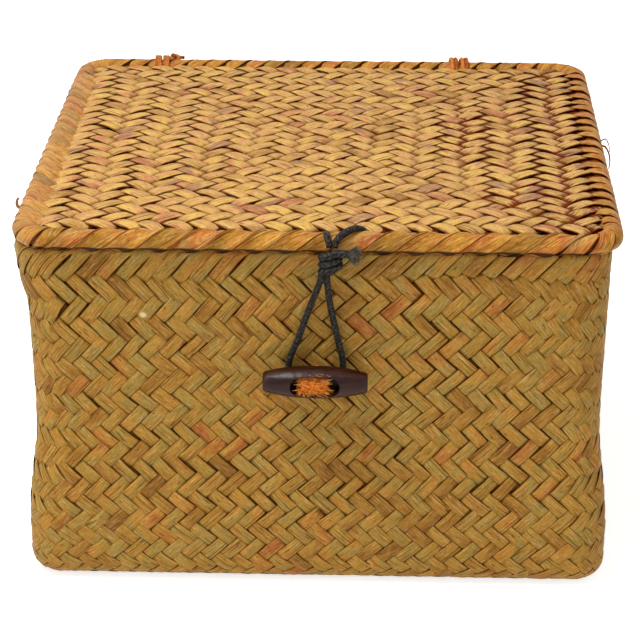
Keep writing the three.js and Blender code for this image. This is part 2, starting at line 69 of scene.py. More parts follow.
yaw, pitch = math.radians(-1.86), math.radians(24.09)
forward = Vector((math.sin(yaw) * math.cos(pitch), math.cos(yaw) * math.cos(pitch), -math.sin(pitch)))
right = Vector((math.cos(yaw), -math.sin(yaw), 0))
turned = Matrix((right, right.cross(forward), -forward)).transposed().to_4x4()
camera_data = bpy.data.cameras.new("camera")
camera_data.sensor_width, camera_data.lens = 36, 125.7
camera = placed("camera", camera_data)
camera.matrix_world = Matrix.Translation((0.0265, -0.8737, 0.4575)) @ turned
bpy.context.scene.camera = camera
bpy.context.scene.view_settings.view_transform = "Standard"
print("camera lens", round(camera_data.lens, 1), "mm")


# %% Lamps
def soft_box(name, place, target, size, power):
    """A square area lamp at a place, turned to face a target."""
    data = bpy.data.lights.new(name, "AREA")
    data.size, data.energy = size, power
    lamp = placed(name, data)
    lamp.location = place
    lamp.rotation_euler = (Vector(target) - Vector(place)).to_track_quat("-Z", "Y").to_euler()


soft_box("key_box", (-0.36, -0.35, 1.12), (0, 0, 0.1), 0.42, 10.7)
soft_box("left_box", (-1.2, -0.9, 0.5), (0, 0, 0.08), 0.8, 3.3)
soft_box("right_box", (1.1, -1.0, 0.45), (0, 0, 0.08), 0.8, 2.8)
print(len(bpy.data.lights), "lamps")

# %% [markdown]
# ## Short ways to write shader nodes
# The materials are sums of noises and maps. A few small functions make their nodes, so that each line
# below reads like a sum. A socket knows which node tree it belongs to, so the tree needn't be named.


# %% Nodes and sums
def give(node, inputs):
    """Give some of a node's inputs a socket to link or a value to hold."""
    for key, value in inputs.items():
        if isinstance(value, bpy.types.NodeSocket):
            node.id_data.links.new(value, node.inputs[key])
        else:
            node.inputs[key].default_value = value


def add(tree, kind, inputs=None, **settings):
    """A shader node with its settings and inputs."""
    made = tree.nodes.new("ShaderNode" + kind)
    for key, value in settings.items():
        setattr(made, key, value)
    give(made, inputs or {})
    return made


def tree_of(*values):
    """The node tree of the first socket among some values."""
    return next(value.id_data for value in values if isinstance(value, bpy.types.NodeSocket))


def maths(operation, *values):
    """The result of one sum on numbers and sockets."""
    return add(tree_of(*values), "Math", dict(enumerate(values)), operation=operation).outputs[0]


SUMS = ("MULTIPLY", "ADD", "SUBTRACT", "MULTIPLY_ADD", "MAXIMUM", "ABSOLUTE", "SINE")
times, plus, minus, scaled, larger, size_of, sine = (partial(maths, operation) for operation in SUMS)
print("sums that a material can use:", ", ".join(operation.lower() for operation in SUMS))


# %% Ramps, noises and colours
WHITE = (1, 1, 1, 1)


def linear(*rgb):
    """A colour written as 0 to 255 numbers, as shaders want it."""
    return tuple(
        (c / 255 / 12.92) if c / 255 <= 0.04045 else ((c / 255 + 0.055) / 1.055) ** 2.4 for c in rgb
    ) + (1.0,)


def ramp_between(value, low, high):
    """0 at low, 1 at high, and smooth between."""
    ends = {"Value": value, "From Min": low, "From Max": high}
    return add(tree_of(value), "MapRange", ends, interpolation_type="SMOOTHSTEP").outputs[0]


def noise(place, scale, detail):
    """The value of a noise at a place."""
    return add(tree_of(place), "TexNoise", {"Vector": place, "Scale": scale, "Detail": detail}).outputs["Fac"]


def bump(height, strength, distance, **more):
    """Normals that follow a height."""
    inputs = {"Height": height, "Strength": strength, "Distance": distance, **more}
    return add(tree_of(height), "Bump", inputs).outputs[0]


def mix(share, first, second, blend="MIX"):
    """Two colours mixed by a share."""
    settings = {"data_type": "RGBA", "blend_type": blend, "clamp_result": True}
    return add(tree_of(share, first), "Mix", {0: share, 6: first, 7: second}, **settings).outputs[2]


def lay_over(colour, mask, red, green, blue, share):
    """A colour with another one laid over it where a mask shows, as far as the share says."""
    return mix(times(mask, share), colour, linear(red, green, blue))


def as_shares(*rgb):
    """A colour written as three shares of full light."""
    return rgb + (1.0,)


def colour_ramp(value, stops, read=linear):
    """A ramp through colours; each stop is its place and the three numbers of its colour."""
    made = add(tree_of(value), "ValToRGB", {"Fac": value})
    elements = made.color_ramp.elements
    while len(elements) < len(stops):
        elements.new(0.5)
    for element, (place, *rgb) in zip(elements, stops):
        element.position, element.color = place, read(*rgb)
    return made.outputs["Color"]


def new_material(name):
    """A material, its node tree and its main shader."""
    material = bpy.data.materials.new(name)
    material.use_nodes = True
    return material, material.node_tree, material.node_tree.nodes["Principled BSDF"]


print("half grey in the file is", round(linear(128)[0], 3), "of full light")


# %% World and floor
def seen_or_lit(tree, seen, lit):
    """One value where the camera or a reflection sees the studio, and another where it lights things."""
    rays = add(tree, "LightPath").outputs
    return scaled(larger(rays["Is Camera Ray"], rays["Is Glossy Ray"]), seen - lit, lit)


world = bpy.data.worlds.new("studio")
bpy.context.scene.world = world
world.use_nodes = True
sky = world.node_tree
sky.nodes.clear()
light = add(sky, "Background", {"Color": WHITE, "Strength": seen_or_lit(sky, 1.0, 0.42)})
add(sky, "OutputWorld", {"Surface": light.outputs[0]})

bpy.ops.mesh.primitive_plane_add(size=8, location=(0, 0, -0.0004))
floor = bpy.context.object
floor.name = "studio_floor"
paper, tree, shader = new_material("white_paper")
give(shader, {"Base Color": (0.9, 0.9, 0.9, 1), "Roughness": 0.9})
give(shader, {"Emission Color": WHITE, "Emission Strength": seen_or_lit(tree, 0.7, 0.0)})
floor.data.materials.append(paper)
print("world and floor are white")

# %% [markdown]
# ## Leaf strip: one finish in several colours
# A dried leaf strip has fine fibres along its length, now and then a fold line and small dark flecks.
# Its edges are darker, partly by wear and partly as painted shade between the strips. Its colour drifts
# along the strip and jumps from one strip to the next. Each strip carries its own map (metres along,
# share across) and a number of its own, and one node group turns these into masks that every leaf
# material shares.

# %% Group: what a leaf strip's map shows
leaf = bpy.data.node_groups.new("leaf strip", "ShaderNodeTree")
leaf.interface.new_socket(name="Map", in_out="INPUT", socket_type="NodeSocketVector")
for label, value in (("Strip", 0.0), ("Drift", 40.0), ("Margin", 0.405), ("Lean", 0.0)):
    socket = leaf.interface.new_socket(name=label, in_out="INPUT", socket_type="NodeSocketFloat")
    socket.default_value = value
for label in ("Tone", "Fibre", "Fine", "Edge", "Fold", "Fleck", "Patch", "Height"):
    leaf.interface.new_socket(name=label, in_out="OUTPUT", socket_type="NodeSocketFloat")
leaf_in, leaf_out = leaf.nodes.new("NodeGroupInput"), leaf.nodes.new("NodeGroupOutput")
strip, margin = leaf_in.outputs["Strip"], leaf_in.outputs["Margin"]
along, across, _ = add(leaf, "SeparateXYZ", {0: leaf_in.outputs["Map"]}).outputs
own = add(leaf, "TexWhiteNoise", {"W": times(strip, 917.0)}, noise_dimensions="1D")
own_tone, own_fold, _ = add(leaf, "SeparateColor", {0: own.outputs["Color"]}).outputs


def strip_noise(along_scale, across_scale, step, detail=2.0):
    """Noise drawn out along the strip, different on each strip."""
    parts = {0: times(along, along_scale), 1: times(across, across_scale), 2: times(strip, step)}
    return noise(add(leaf, "CombineXYZ", parts).outputs[0], 1.0, detail)


drift = strip_noise(leaf_in.outputs["Drift"], 0.4, 211.3)
tone = scaled(own_tone, 0.45, scaled(drift, 1.9, -0.68))
mottle = strip_noise(330, 9, 61.3, 3.0)
fibre = scaled(strip_noise(70, 11, 97.1), 0.4, times(mottle, 0.6))
fine = strip_noise(900, 20, 31.7, 1.0)
# The darker edges, partly wear and partly painted shade between neighbouring strips: one side begins at the
# margin, and the other can begin later, by the lean.
near, far = minus(across, 0.5), minus(minus(0.5, across), leaf_in.outputs["Lean"])
rim = ramp_between(larger(near, far), margin, plus(margin, 0.07))
worn = ramp_between(strip_noise(110, 3.0, 19.9, 1.0), 0.34, 0.6)
edge = times(rim, scaled(worn, 0.5, 0.5))
# Fold lines run along a strip for a while at a place of its own, and fine splits wander across it.
fold_place = plus(scaled(own_fold, 0.7, 0.15), scaled(strip_noise(20, 0, 57.3), 0.24, -0.12))
fold_line = minus(1.0, ramp_between(size_of(minus(across, fold_place)), 0.012, 0.045))
fold = times(fold_line, ramp_between(strip_noise(26, 0, 71.9), 0.5, 0.56))
split_off = size_of(minus(strip_noise(24, 5.5, 83.1, 0.0), 0.5))
split_line = minus(1.0, ramp_between(split_off, 0.006, 0.03))
split_line = times(split_line, ramp_between(strip_noise(60, 2.5, 29.3, 1.0), 0.47, 0.56))
fold = larger(fold, times(split_line, 0.85))
height = minus(scaled(fibre, 0.7, times(fine, 0.35)), times(fold, 0.5))
give(leaf_out, {"Tone": tone, "Fibre": fibre, "Fine": fine, "Edge": edge, "Fold": fold, "Height": height})
give(leaf_out, {"Fleck": ramp_between(strip_noise(420, 7, 43.9, 1.0), 0.67, 0.76)})
give(leaf_out, {"Patch": ramp_between(strip_noise(38, 0.4, 149.9, 1.0), 0.65, 0.69)})
print("leaf strip group:", len(leaf.nodes), "nodes")


# %% Materials of leaf strip
def leaf_material(
    name, stops, patch, edge, under, clear_at, rough, drift=40.0, pale_fibres_and_sheen=0.38, lines=0.0, margin=0.405, lean=0.0
):
    """A strip finish: its colours by tone, its odd patches, its edges, and where it goes under others.

    Patch, edge and under are each a colour with its share. The edge colour is partly wear and partly
    painted shade between strips, and also marks folds and flecks; under is painted shade where the strip
    goes under others. At clear_at a strip has come out from under the others.
    """
    material, tree, shader = new_material(name)
    number = add(tree, "Attribute", attribute_name="strip_number").outputs["Fac"]
    shown = add(tree, "Attribute", attribute_name="strip_open").outputs["Fac"]
    inputs = {"Strip": number, "Drift": drift, "Margin": margin, "Lean": lean}
    inputs["Map"] = add(tree, "UVMap", uv_map="strip_map").outputs[0]
    seen = add(tree, "Group", inputs, node_tree=leaf).outputs
    colour = lay_over(colour_ramp(seen["Tone"], stops), seen["Patch"], *patch)
    dark_lines = [(0.3 + lines, 0.56, 0.46, 0.33), (0.49 + lines, 1, 1, 1), (0.7, 1, 1, 1)]
    colour = mix(0.85, colour, colour_ramp(seen["Fibre"], dark_lines, as_shares), "MULTIPLY")
    # Pale along the lighter fibres: partly the leaf's own colour and partly a painted sheen.
    colour = lay_over(colour, ramp_between(seen["Fibre"], 0.5, 0.72), 232, 200, 142, pale_fibres_and_sheen)
    finer_lines = [(0.32, 0.76, 0.72, 0.62), (0.55, 1, 1, 1)]
    colour = mix(0.8, colour, colour_ramp(seen["Fine"], finer_lines, as_shares), "MULTIPLY")
    # The edge colour marks folds and flecks, and the strip's edges, where it is partly wear and partly painted
    # shade between strips.
    *mark_and_edge_shade_colour, edge_share = edge
    for mask, share in (("Fold", 0.75), ("Fleck", 0.6), ("Edge", edge_share)):
        colour = lay_over(colour, seen[mask], *mark_and_edge_shade_colour, share)
    # Painted shade where the strip dives under a crossing strip, from how far it lies in the open; the same
    # measure lowers its reflection there.
    painted_shade_under = minus(1.0, ramp_between(shown, 0.3, clear_at))
    give(shader, {
        "Base Color": lay_over(colour, painted_shade_under, *under),
        "Roughness": scaled(seen["Fibre"], 0.25, rough - 0.12),
        "Specular IOR Level": times(ramp_between(shown, 0.35, 1.0), 0.07),
        "Normal": bump(seen["Height"], 0.45, 0.0003),
    })
    return material


# In each finish the edge colour is partly painted shade between strips, and the under colour is painted shade
# where a strip goes under another.
body_leaf = leaf_material(
    "body leaf",
    [
        (0.0, 141, 97, 40), (0.2, 161, 114, 47), (0.35, 177, 130, 56), (0.48, 171, 132, 57),
        (0.58, 159, 132, 67), (0.68, 179, 135, 57), (0.8, 186, 132, 57), (0.9, 182, 121, 53),
        (1.0, 170, 101, 48),
    ],
    patch=(156, 96, 46, 0.38), edge=(74, 32, 0, 0.9), under=(60, 25, 0, 0.85), clear_at=0.76, rough=0.5,
)
lid_leaf = leaf_material(
    "lid leaf",
    [
        (0.0, 166, 116, 58), (0.2, 198, 150, 78), (0.38, 214, 168, 96), (0.5, 208, 150, 94),
        (0.62, 224, 180, 88), (0.74, 217, 172, 96), (0.86, 212, 144, 92), (1.0, 176, 112, 70),
    ],
    patch=(156, 110, 86, 0.7), edge=(80, 32, 2, 1.0), under=(90, 38, 3, 0.97), clear_at=0.95, rough=0.48,
    pale_fibres_and_sheen=0.55, margin=0.355, lean=0.06,
)
roll_leaf = leaf_material(
    "rolled edge leaf",
    [
        (0.05, 147, 103, 38), (0.28, 174, 126, 48), (0.45, 196, 130, 50), (0.6, 204, 150, 60),
        (0.75, 198, 116, 52), (0.9, 198, 154, 84), (1.0, 166, 88, 33),
    ],
    patch=(176, 96, 38, 0.6), edge=(104, 50, 12, 0.8), under=(96, 38, 8, 0.8), clear_at=0.62, rough=0.42,
    drift=22.0, lines=0.06,
)
print("leaf materials:", [material.name for material in (body_leaf, lid_leaf, roll_leaf)])


# %% Tints: painted shade, and darker and paler places
def towards(axis, low, high):
    """A mask that grows from low to high along an axis."""
    def mask_of(place, fibre):
        parts = add(tree_of(place), "SeparateXYZ", {0: place}).outputs
        return ramp_between(parts[axis], low, high)
    return mask_of


def in_streaks(low, high):
    """A mask that follows the fibres of the strips."""
    return lambda place, fibre: ramp_between(fibre, low, high)


def spot(middle, size):
    """A mask round a point."""
    def mask_of(place, fibre):
        inputs = {"Vector": place, "Location": middle, "Scale": size}
        moved = add(tree_of(place), "Mapping", inputs, vector_type="TEXTURE").outputs[0]
        away = add(tree_of(place), "VectorMath", {0: moved}, operation="LENGTH").outputs["Value"]
        return minus(1.0, ramp_between(away, 0.3, 1.0))
    return mask_of


def tint(material, masks, colour):
    """Lay a colour with its share over a leaf material, where all of some masks meet."""
    nodes = material.node_tree.nodes
    place = add(material.node_tree, "TexCoord").outputs["Object"]
    fibre = next(node for node in nodes if node.type == "GROUP").outputs["Fibre"]
    shown = next(node for node in nodes if getattr(node, "attribute_name", "") == "strip_open").outputs["Fac"]
    # Low in the crevices, where a strip lies under others, and along its darker fibres.
    streaks = scaled(shown, 0.6, scaled(fibre, 0.7, -0.36))
    mask = 1.0
    for mask_of in masks:
        mask = times(mask_of(place, streaks), mask)
    shader = nodes["Principled BSDF"]
    was = shader.inputs["Base Color"].links[0].from_socket
    give(shader, {"Base Color": lay_over(was, mask, *colour)})


top_side = towards(2, 0.1464, 0.1471)
long_spot = spot((0.06, 0.012, 0.147), (0.024, 0.062, 0.05))
corner_spot = spot((0.078, -0.066, 0.147), (0.024, 0.018, 0.05))
low_spot = spot((0.0015, -0.107, 0.031), (0.0055, 0.05, 0.0045))
pale_spot = spot((-0.0655, -0.105, 0.1142), (0.002, 0.05, 0.0016))
for material, masks, colour in (
    (roll_leaf, [towards(0, -0.1, -0.109)], (226, 184, 130, 0.14)),
    # Painted shade: dark red-brown in the crevices between the wraps at the roll's right end.
    (roll_leaf, [towards(0, 0.098, 0.111), in_streaks(0.58, 0.44)], (112, 42, 6, 0.8)),
    # Painted shadow: a dark line along the underside of the front roll, where it overhangs the wall.
    (roll_leaf, [towards(2, 0.1432, 0.1424), towards(1, -0.1048, -0.1058)], (40, 16, 2, 0.93)),
    # Painted shade: dark red-brown in the open gaps between the strips towards the lid's right edge.
    (lid_leaf, [top_side, towards(0, 0.066, 0.1), in_streaks(0.53, 0.39)], (98, 32, 0, 0.92)),
    (lid_leaf, [top_side, long_spot, in_streaks(0.53, 0.4)], (98, 32, 0, 0.93)),
    (lid_leaf, [top_side, corner_spot, in_streaks(0.53, 0.4)], (108, 36, 0, 0.93)),
    (body_leaf, [low_spot, in_streaks(0.6, 0.4)], (70, 30, 8, 0.9)),
    (body_leaf, [pale_spot, in_streaks(0.2, 0.4)], (226, 206, 158, 0.85)),
):
    tint(material, masks, colour)
# Among these tints, the dark line under the front roll and the dark red-brown in the crevices at the right of
# the roll and of the lid are painted shade.
print("stains on the lid and its roll, and two spots on the front")

# %% [markdown]
# ## Strips as real ribbons
# A twill of some two hundred strips can't be placed by hand, and a flat picture of one would show at
# the edges and inside. So each strip is a thin ribbon with its own arched section. Code lays it along
# the basket's surface, lifts it over two of its neighbours and dips it under two, as the maker does.

# %% A ribbon, and a piece made of ribbons
# Across a strip: from one edge over the arched outside to the other edge, and back inside.
RIBBON = np.array([
    (-1, -0.1), (-0.86, 0.42), (-0.35, 0.62), (0.35, 0.62), (0.86, 0.42), (1, -0.1),
    (0.45, -0.5), (-0.45, -0.5),
])
OUTER = np.sign(RIBBON[:, 1]) * (np.abs(RIBBON[:, 1]) > 0.2)  # 1 outside, -1 inside, 0 on an edge
rng = np.random.default_rng(7)


def unit(vectors):
    """The same directions, each one long."""
    return vectors / np.linalg.norm(vectors, axis=-1, keepdims=True)


def length_along(points):
    """How far along a line each of its points lies."""
    return np.concatenate([[0], np.cumsum(np.linalg.norm(np.diff(points, axis=0), axis=1))])


def line_map(points, shares, start):
    """The map of the rings along a line: metres along it, and the share across or round it."""
    return np.stack(np.broadcast_arrays((start + length_along(points) * MM)[:, None], shares), axis=-1)


def ribbon(centres, normals, half_width, thickness, arch, tilt=0.0, lifted=None, slant=None):
    """Rings of points along a strip, its map, and how far it lies in the open.

    Slant is a direction for each ring, and how far the ring is turned into it, for a strip that goes
    over a sharp fold on the slant.
    """
    runs = unit(np.gradient(centres, axis=0))
    sides = unit(np.cross(runs, normals))
    ups = np.cross(sides, runs)
    if slant is not None:
        axes, share = slant
        across = np.sum(axes * sides, axis=1)
        level = (share > 0) & (np.abs(across) > 0.1)
        slide = np.where(level, share * np.sum(axes * runs, axis=1) / np.where(level, across, 1), 0)
        sides = sides + runs * np.clip(slide, -1.3, 1.3)[:, None]
    wide = np.broadcast_to(half_width, len(centres))[:, None]
    rise = thickness * RIBBON[:, 1] + arch * (1 - RIBBON[:, 0] ** 2) + tilt * RIBBON[:, 0]
    rings = (
        centres[:, None]
        + sides[:, None] * (wide * RIBBON[:, 0])[:, :, None]
        + ups[:, None] * rise[None, :, None]
    )
    lifted = np.ones(len(centres)) if lifted is None else lifted
    shown = 0.5 + 0.5 * np.clip(lifted, -1, 1)[:, None] * OUTER[None, :]
    return rings, line_map(centres, RIBBON[:, 0] / 2 + 0.5, rng.uniform(0, 3)), shown


def piece_of(name, tubes, numbers, material, body, node):
    """One object from many closed tubes given in millimetres, which stands for a CAD node.

    Numbers has one for each tube, or the lowest and highest of random ones. Body is the name of the body
    that the piece rides on; a value that is not a name is not used, and the piece stays fixed in place.
    """
    if isinstance(numbers, tuple):
        numbers = rng.uniform(*numbers, len(tubes))
    parts, first = [], 0
    for (rings, uv, shown), number in zip(tubes, numbers):
        n, sides = rings.shape[:2]
        ring, side = np.arange(n - 1)[:, None] * sides, np.arange(sides)[None, :]
        after = (side + 1) % sides
        quads = np.stack([ring + side, ring + after, ring + sides + after, ring + sides + side], axis=-1)
        cap = np.array([(0, i + 2, i + 1, i) for i in range(1, sides - 2, 2)])
        faces = np.concatenate([quads.reshape(-1, 4), cap, cap[:, ::-1] + (n - 1) * sides]) + first
        marks = np.full(n * sides, number)
        parts.append((rings.reshape(-1, 3), uv.reshape(-1, 2), marks, shown.ravel(), faces))
        first += n * sides
    points, maps, marks, opens, faces = (np.concatenate(values) for values in zip(*parts))
    mesh = bpy.data.meshes.new(name)
    mesh.vertices.add(len(points))
    mesh.vertices.foreach_set("co", (points * MM).ravel())
    mesh.loops.add(faces.size)
    mesh.loops.foreach_set("vertex_index", faces.ravel())
    mesh.polygons.add(len(faces))
    mesh.polygons.foreach_set("loop_start", np.arange(len(faces)) * 4)
    mesh.polygons.foreach_set("use_smooth", np.ones(len(faces), bool))
    mesh.update(calc_edges=True)
    mesh.uv_layers.new(name="strip_map").data.foreach_set("uv", maps[faces.ravel()].ravel())
    for label, values in (("strip_number", marks), ("strip_open", opens)):
        layer = mesh.attributes.new(label, "FLOAT", "POINT")
        layer.data.foreach_set("value", values.astype(np.float32))
    mesh.validate()
    made = placed(name, mesh)
    mesh.materials.append(material)
    if isinstance(body, str):
        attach(made, body)
    else:
        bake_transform(made)
    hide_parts(node)
    print(name, len(tubes), "strips,", 2 * len(faces), "triangles")
    return made


# %% [markdown]
# ## The body's surface, unrolled
# The strips run at 45 degrees over the floor, round the bottom fold and up the walls without a break.
# To lay them, the surface is unrolled: a place is a side of the basket, a distance along it, and a
# way up from the bottom edge, which is negative on the floor.

# %% The body's surface
WIDTH, DEPTH, HEIGHT = 229.4, 215.4, 140.3
CORNER, FOLD_RADIUS, WALL = 13.0, 9.0, 2.4
RIM_TOP, RIM_FOLD = 141.4, 2.4  # the strips' ends turn inwards here, over the roll inside the mouth
PROFILE = {"width": (WIDTH, 221.2, 223.2), "depth": (DEPTH, 207.2, 209.2)}  # at belly, waist and rim
BELLY_Z, WAIST_Z = 22.0, 68.0
ALONG = np.array([(1, 0), (0, 1), (-1, 0), (0, -1)], float)  # front, right, back and left
OUT = np.array([(0, -1), (1, 0), (0, 1), (-1, 0)], float)


def ease(t):
    """A smooth rise from 0 to 1."""
    t = np.clip(t, 0, 1)
    return t * t * (3 - 2 * t)


def half_size(which, z):
    """Half the body's width or depth at height z."""
    belly, waist, rim = PROFILE[which]
    low = belly + (waist - belly) * ease((z - BELLY_Z) / (WAIST_Z - BELLY_Z))
    high = waist + (rim - waist) * ease((z - WAIST_Z) / (HEIGHT - WAIST_Z))
    return np.where(z < WAIST_Z, low, high) / 2


def lean_out(points):
    """The rim's left side is pulled outwards, most of all near the front."""
    x, y, z = points.T
    share = ease((-x - 88) / 20) * ease((z - 112) / 24) * (0.55 + 0.45 * ease(-y / 80))
    return points - np.array([3.4, 0, 0]) * share[:, None]


def body_surface(side, along, rise, lift):
    """Points on the unrolled body, lift millimetres out from the middle of the wall, and their normals."""
    turn = np.clip((rise + FOLD_RADIUS) / (2 * FOLD_RADIUS), 0, 1) * math.pi / 2
    past_fold = rise - RIM_TOP + RIM_FOLD
    over = np.clip(past_fold / RIM_FOLD, 0, math.pi / 2)
    z = np.where(rise < FOLD_RADIUS, FOLD_RADIUS * (1 - np.cos(turn)), np.minimum(rise, RIM_TOP - RIM_FOLD))
    z = z + RIM_FOLD * np.sin(over)
    inset = np.where(rise > -FOLD_RADIUS, FOLD_RADIUS * (1 - np.sin(turn)), -rise)
    inset = inset + RIM_FOLD * (1 - np.cos(over)) + np.maximum(past_fold - RIM_FOLD * math.pi / 2, 0)
    wide, deep = half_size("width", z), half_size("depth", z)
    facing = side % 2 == 0
    reach = np.where(facing, wide, deep) - inset
    out = np.where(facing, deep, wide) - inset
    flat = np.where(facing, WIDTH, DEPTH) / 2 + np.minimum(rise, 0)
    at = along * reach / np.maximum(flat, 1e-6)
    radius = np.clip(CORNER - inset, 0, None)
    past = np.clip(np.abs(at) - (reach - radius), 0, radius)
    angle = past / np.maximum(radius, 1e-6) * math.pi / 4
    x = np.sign(at) * (np.minimum(np.abs(at), reach - radius) + radius * np.sin(angle))
    y = out - radius * (1 - np.cos(angle))
    flat_normal = ALONG[side] * (np.sign(at) * np.sin(angle))[:, None] + OUT[side] * np.cos(angle)[:, None]
    level = (np.sin(turn) * np.cos(over))[:, None]
    normals = np.column_stack([flat_normal * level, np.sin(over) - np.cos(turn)])
    base = np.column_stack([ALONG[side] * x[:, None] + OUT[side] * y[:, None], z])
    return lean_out(base + normals * (lift - WALL / 2)[:, None]), normals


corner_place, _ = body_surface(np.array([0]), np.array([WIDTH / 2]), np.zeros(1), np.zeros(1))
print("the bottom corner lies at", corner_place.round(1))

# %% [markdown]
# ## Over two, under two
# Where two strips cross, the level of the crossing above or below the bottom edge decides which is on
# top: two levels one way, two levels the other. That gives the level zigzag rows of the walls, and
# squares inside each other on the floor and on the lid.

# %% How a strip rises and dips
STEPS = 3  # rings from one crossing to the next
LIFT = 0.45  # how far a strip of the body rises over another
STRIP_HALF, STRIP_THICK = 2.72, 0.5  # half its width, and its thickness


def smooth_random(count, spacing, size):
    """A wandering value: random at every few crossings and smooth between."""
    knots = rng.normal(0, size, max(int(count / spacing) + 3, 4))
    return np.interp(np.linspace(0, len(knots) - 1, count), np.arange(len(knots)), knots)


def weave_lift(over, steps, amount, flatness):
    """How far each ring of a strip lies out, from whether it is over at each crossing."""
    over = np.asarray(over, int)
    n = len(over)
    at = np.arange((n - 1) * steps + 1) / steps
    changes = np.flatnonzero(np.diff(over)) + 0.5
    bounds = np.concatenate([[-0.5], changes, [n - 0.5]])
    index = np.searchsorted(bounds, at, side="right") - 1
    low, high = bounds[index], bounds[np.minimum(index + 1, len(bounds) - 1)]
    middle, half = (low + high) / 2, np.maximum((high - low) / 2, 0.5)
    bow = np.cos(np.clip((at - middle) / half, -1, 1) * math.pi / 2) ** flatness
    heights = rng.normal(1.0, 0.1, len(bounds))
    sign = np.where(over[np.clip(np.round(at).astype(int), 0, n - 1)] > 0, 1.0, -1.0)
    return amount * bow * sign * heights[index] * np.minimum(half, 1.0) ** 0.5


# %% The lattice of crossings
HALF_X, HALF_Y = 30, 28  # half the floor in half steps: strips cross at whole numbers of half steps
ROUND = 4 * (HALF_X + HALF_Y)
LEVELS = 40  # crossings from the bottom edge to past the rim
WALL_TOP = 144.0  # up the wall, over the fold and a little inwards
EDGE_LENGTHS = np.array([WIDTH, DEPTH, WIDTH, DEPTH])
EDGE_STARTS = np.concatenate([[0], np.cumsum(EDGE_LENGTHS)[:-1]])


def crossings(half_x, half_y, family, fixed):
    """Where one strip crosses the others on a flat rectangle, in half steps from its middle."""
    low = max(-2 * half_x - fixed, fixed - 2 * half_y)
    high = min(2 * half_x - fixed, fixed + 2 * half_y)
    moving = np.arange(low, high + 1, 2)
    u, v = (fixed + moving) // 2, (fixed - moving) // 2
    return u, (v if family == "falling" else -v)


def nearest_side(x, y, half_x, half_y, tie=0):
    """The side of a rectangle nearest to each place (front, right, back, left), and how far in it lies.

    With a tie above 0, a place on the diagonal belongs to the front or back.
    """
    from_side, from_front = half_x - np.abs(x), half_y - np.abs(y)
    facing = from_front < from_side + tie
    side = np.where(facing, np.where(y < 0, 0, 2), np.where(x > 0, 1, 3))
    return side, np.where(facing, from_front, from_side)


def twill(level):
    """True where the strip that rises to the right lies on top."""
    return np.mod(level, 4) < 2


def finely(values, steps):
    """Values at the rings between crossings."""
    n = len(values)
    return np.interp(np.arange((n - 1) * steps + 1) / steps, np.arange(n), values)


print(len(crossings(HALF_X, HALF_Y, "falling", 1)[0]), "crossings on the longest strip of the floor")


# %% Round the bottom edge and up a wall
def side_of(distance):
    """The side that a distance round the bottom edge falls on, and the place along that side."""
    distance = np.mod(distance, EDGE_LENGTHS.sum())
    side = np.searchsorted(EDGE_STARTS, distance, side="right") - 1
    return side, distance - EDGE_STARTS[side] - EDGE_LENGTHS[side] / 2


def round_distance(steps):
    """Half steps round the bottom edge from the front's left end, in millimetres."""
    corners = np.array([0, 2 * HALF_X, 2 * (HALF_X + HALF_Y), 4 * HALF_X + 2 * HALF_Y, ROUND])
    return np.interp(np.mod(steps, ROUND), corners, np.append(EDGE_STARTS, EDGE_LENGTHS.sum()))


def climb(start, direction):
    """A strip's crossings up the wall from a place on the bottom edge, without that first one."""
    k = np.arange(1, LEVELS + 1)
    slash = twill(np.minimum(k, 37))  # the last row under the lid lies open longer
    heights = 3.32 * k + 0.0099 * k * k  # the crossings lie a little further apart towards the rim
    return start + direction * k, heights, slash == (direction > 0)


print("a strip climbs to", round(float(climb(0, 1)[1][-1])), "mm")


# %% One strip of the body
def body_strip(family, fixed):
    """One strip: down a wall, across the floor and up another wall."""
    u, v = crossings(HALF_X, HALF_Y, family, fixed)
    side, level = nearest_side(u, v, HALF_X, HALF_Y)
    slash = twill(-level)
    floor_over = np.where((side % 2 == 0) == (family == "falling"), slash, ~slash)
    walls = []
    for end in (0, -1):
        start = (
            u[end] + HALF_X,
            2 * HALF_X + v[end] + HALF_Y,
            3 * HALF_X + 2 * HALF_Y - u[end],
            4 * HALF_X + 3 * HALF_Y - v[end],
        )[side[end]]
        heading = 1 if (side[end] % 2 == 0) == (family == "falling") else -1
        steps, heights, over = climb(start, heading)
        place = round_distance(finely(np.append(start, steps), STEPS))[1:]
        walls.append((*side_of(place), finely(np.append(0, heights), STEPS)[1:], over))
    first, last = walls
    over = np.concatenate([first[3][::-1], floor_over, last[3]])
    x = finely(u * WIDTH / (2 * HALF_X), STEPS)
    y = finely(v * DEPTH / (2 * HALF_Y), STEPS)
    sides, inwards = nearest_side(x, y, WIDTH / 2, DEPTH / 2, 1e-6)
    middle = (sides, ALONG[sides, 0] * x + ALONG[sides, 1] * y, -inwards)
    place = [np.concatenate([first[i][::-1], middle[i], last[i]]) for i in range(3)]
    return place, weave_lift(over, STEPS, LIFT, 0.35)


def sway(side, along, rise):
    """How the whole weave is pulled out of true: sideways and down, in millimetres."""
    a = (EDGE_STARTS[side] + EDGE_LENGTHS[side] / 2 + along) / EDGE_LENGTHS.sum() * 2 * math.pi
    up_share = ease(rise / 60)
    share = along / (EDGE_LENGTHS[side] / 2)
    sideways = 8.0 / math.pi * np.sin(math.pi * share) * ease(rise / HEIGHT)
    sideways += up_share * (1.1 * np.sin(7 * a + rise / 21) + 0.6 * np.sin(17 * a - rise / 13))
    from_dip = (np.mod(a + 2.6, 2 * math.pi) - 2.6) / 0.42  # the rows sag most near the front's left end
    droop = 5.0 * np.exp(-from_dip**2) * ease(rise / 50) * ease((150 - rise) / 50)
    droop += up_share * (0.9 * np.sin(5 * a + 1 + rise / 30) + 0.5 * np.sin(13 * a + rise / 17))
    return sideways, droop


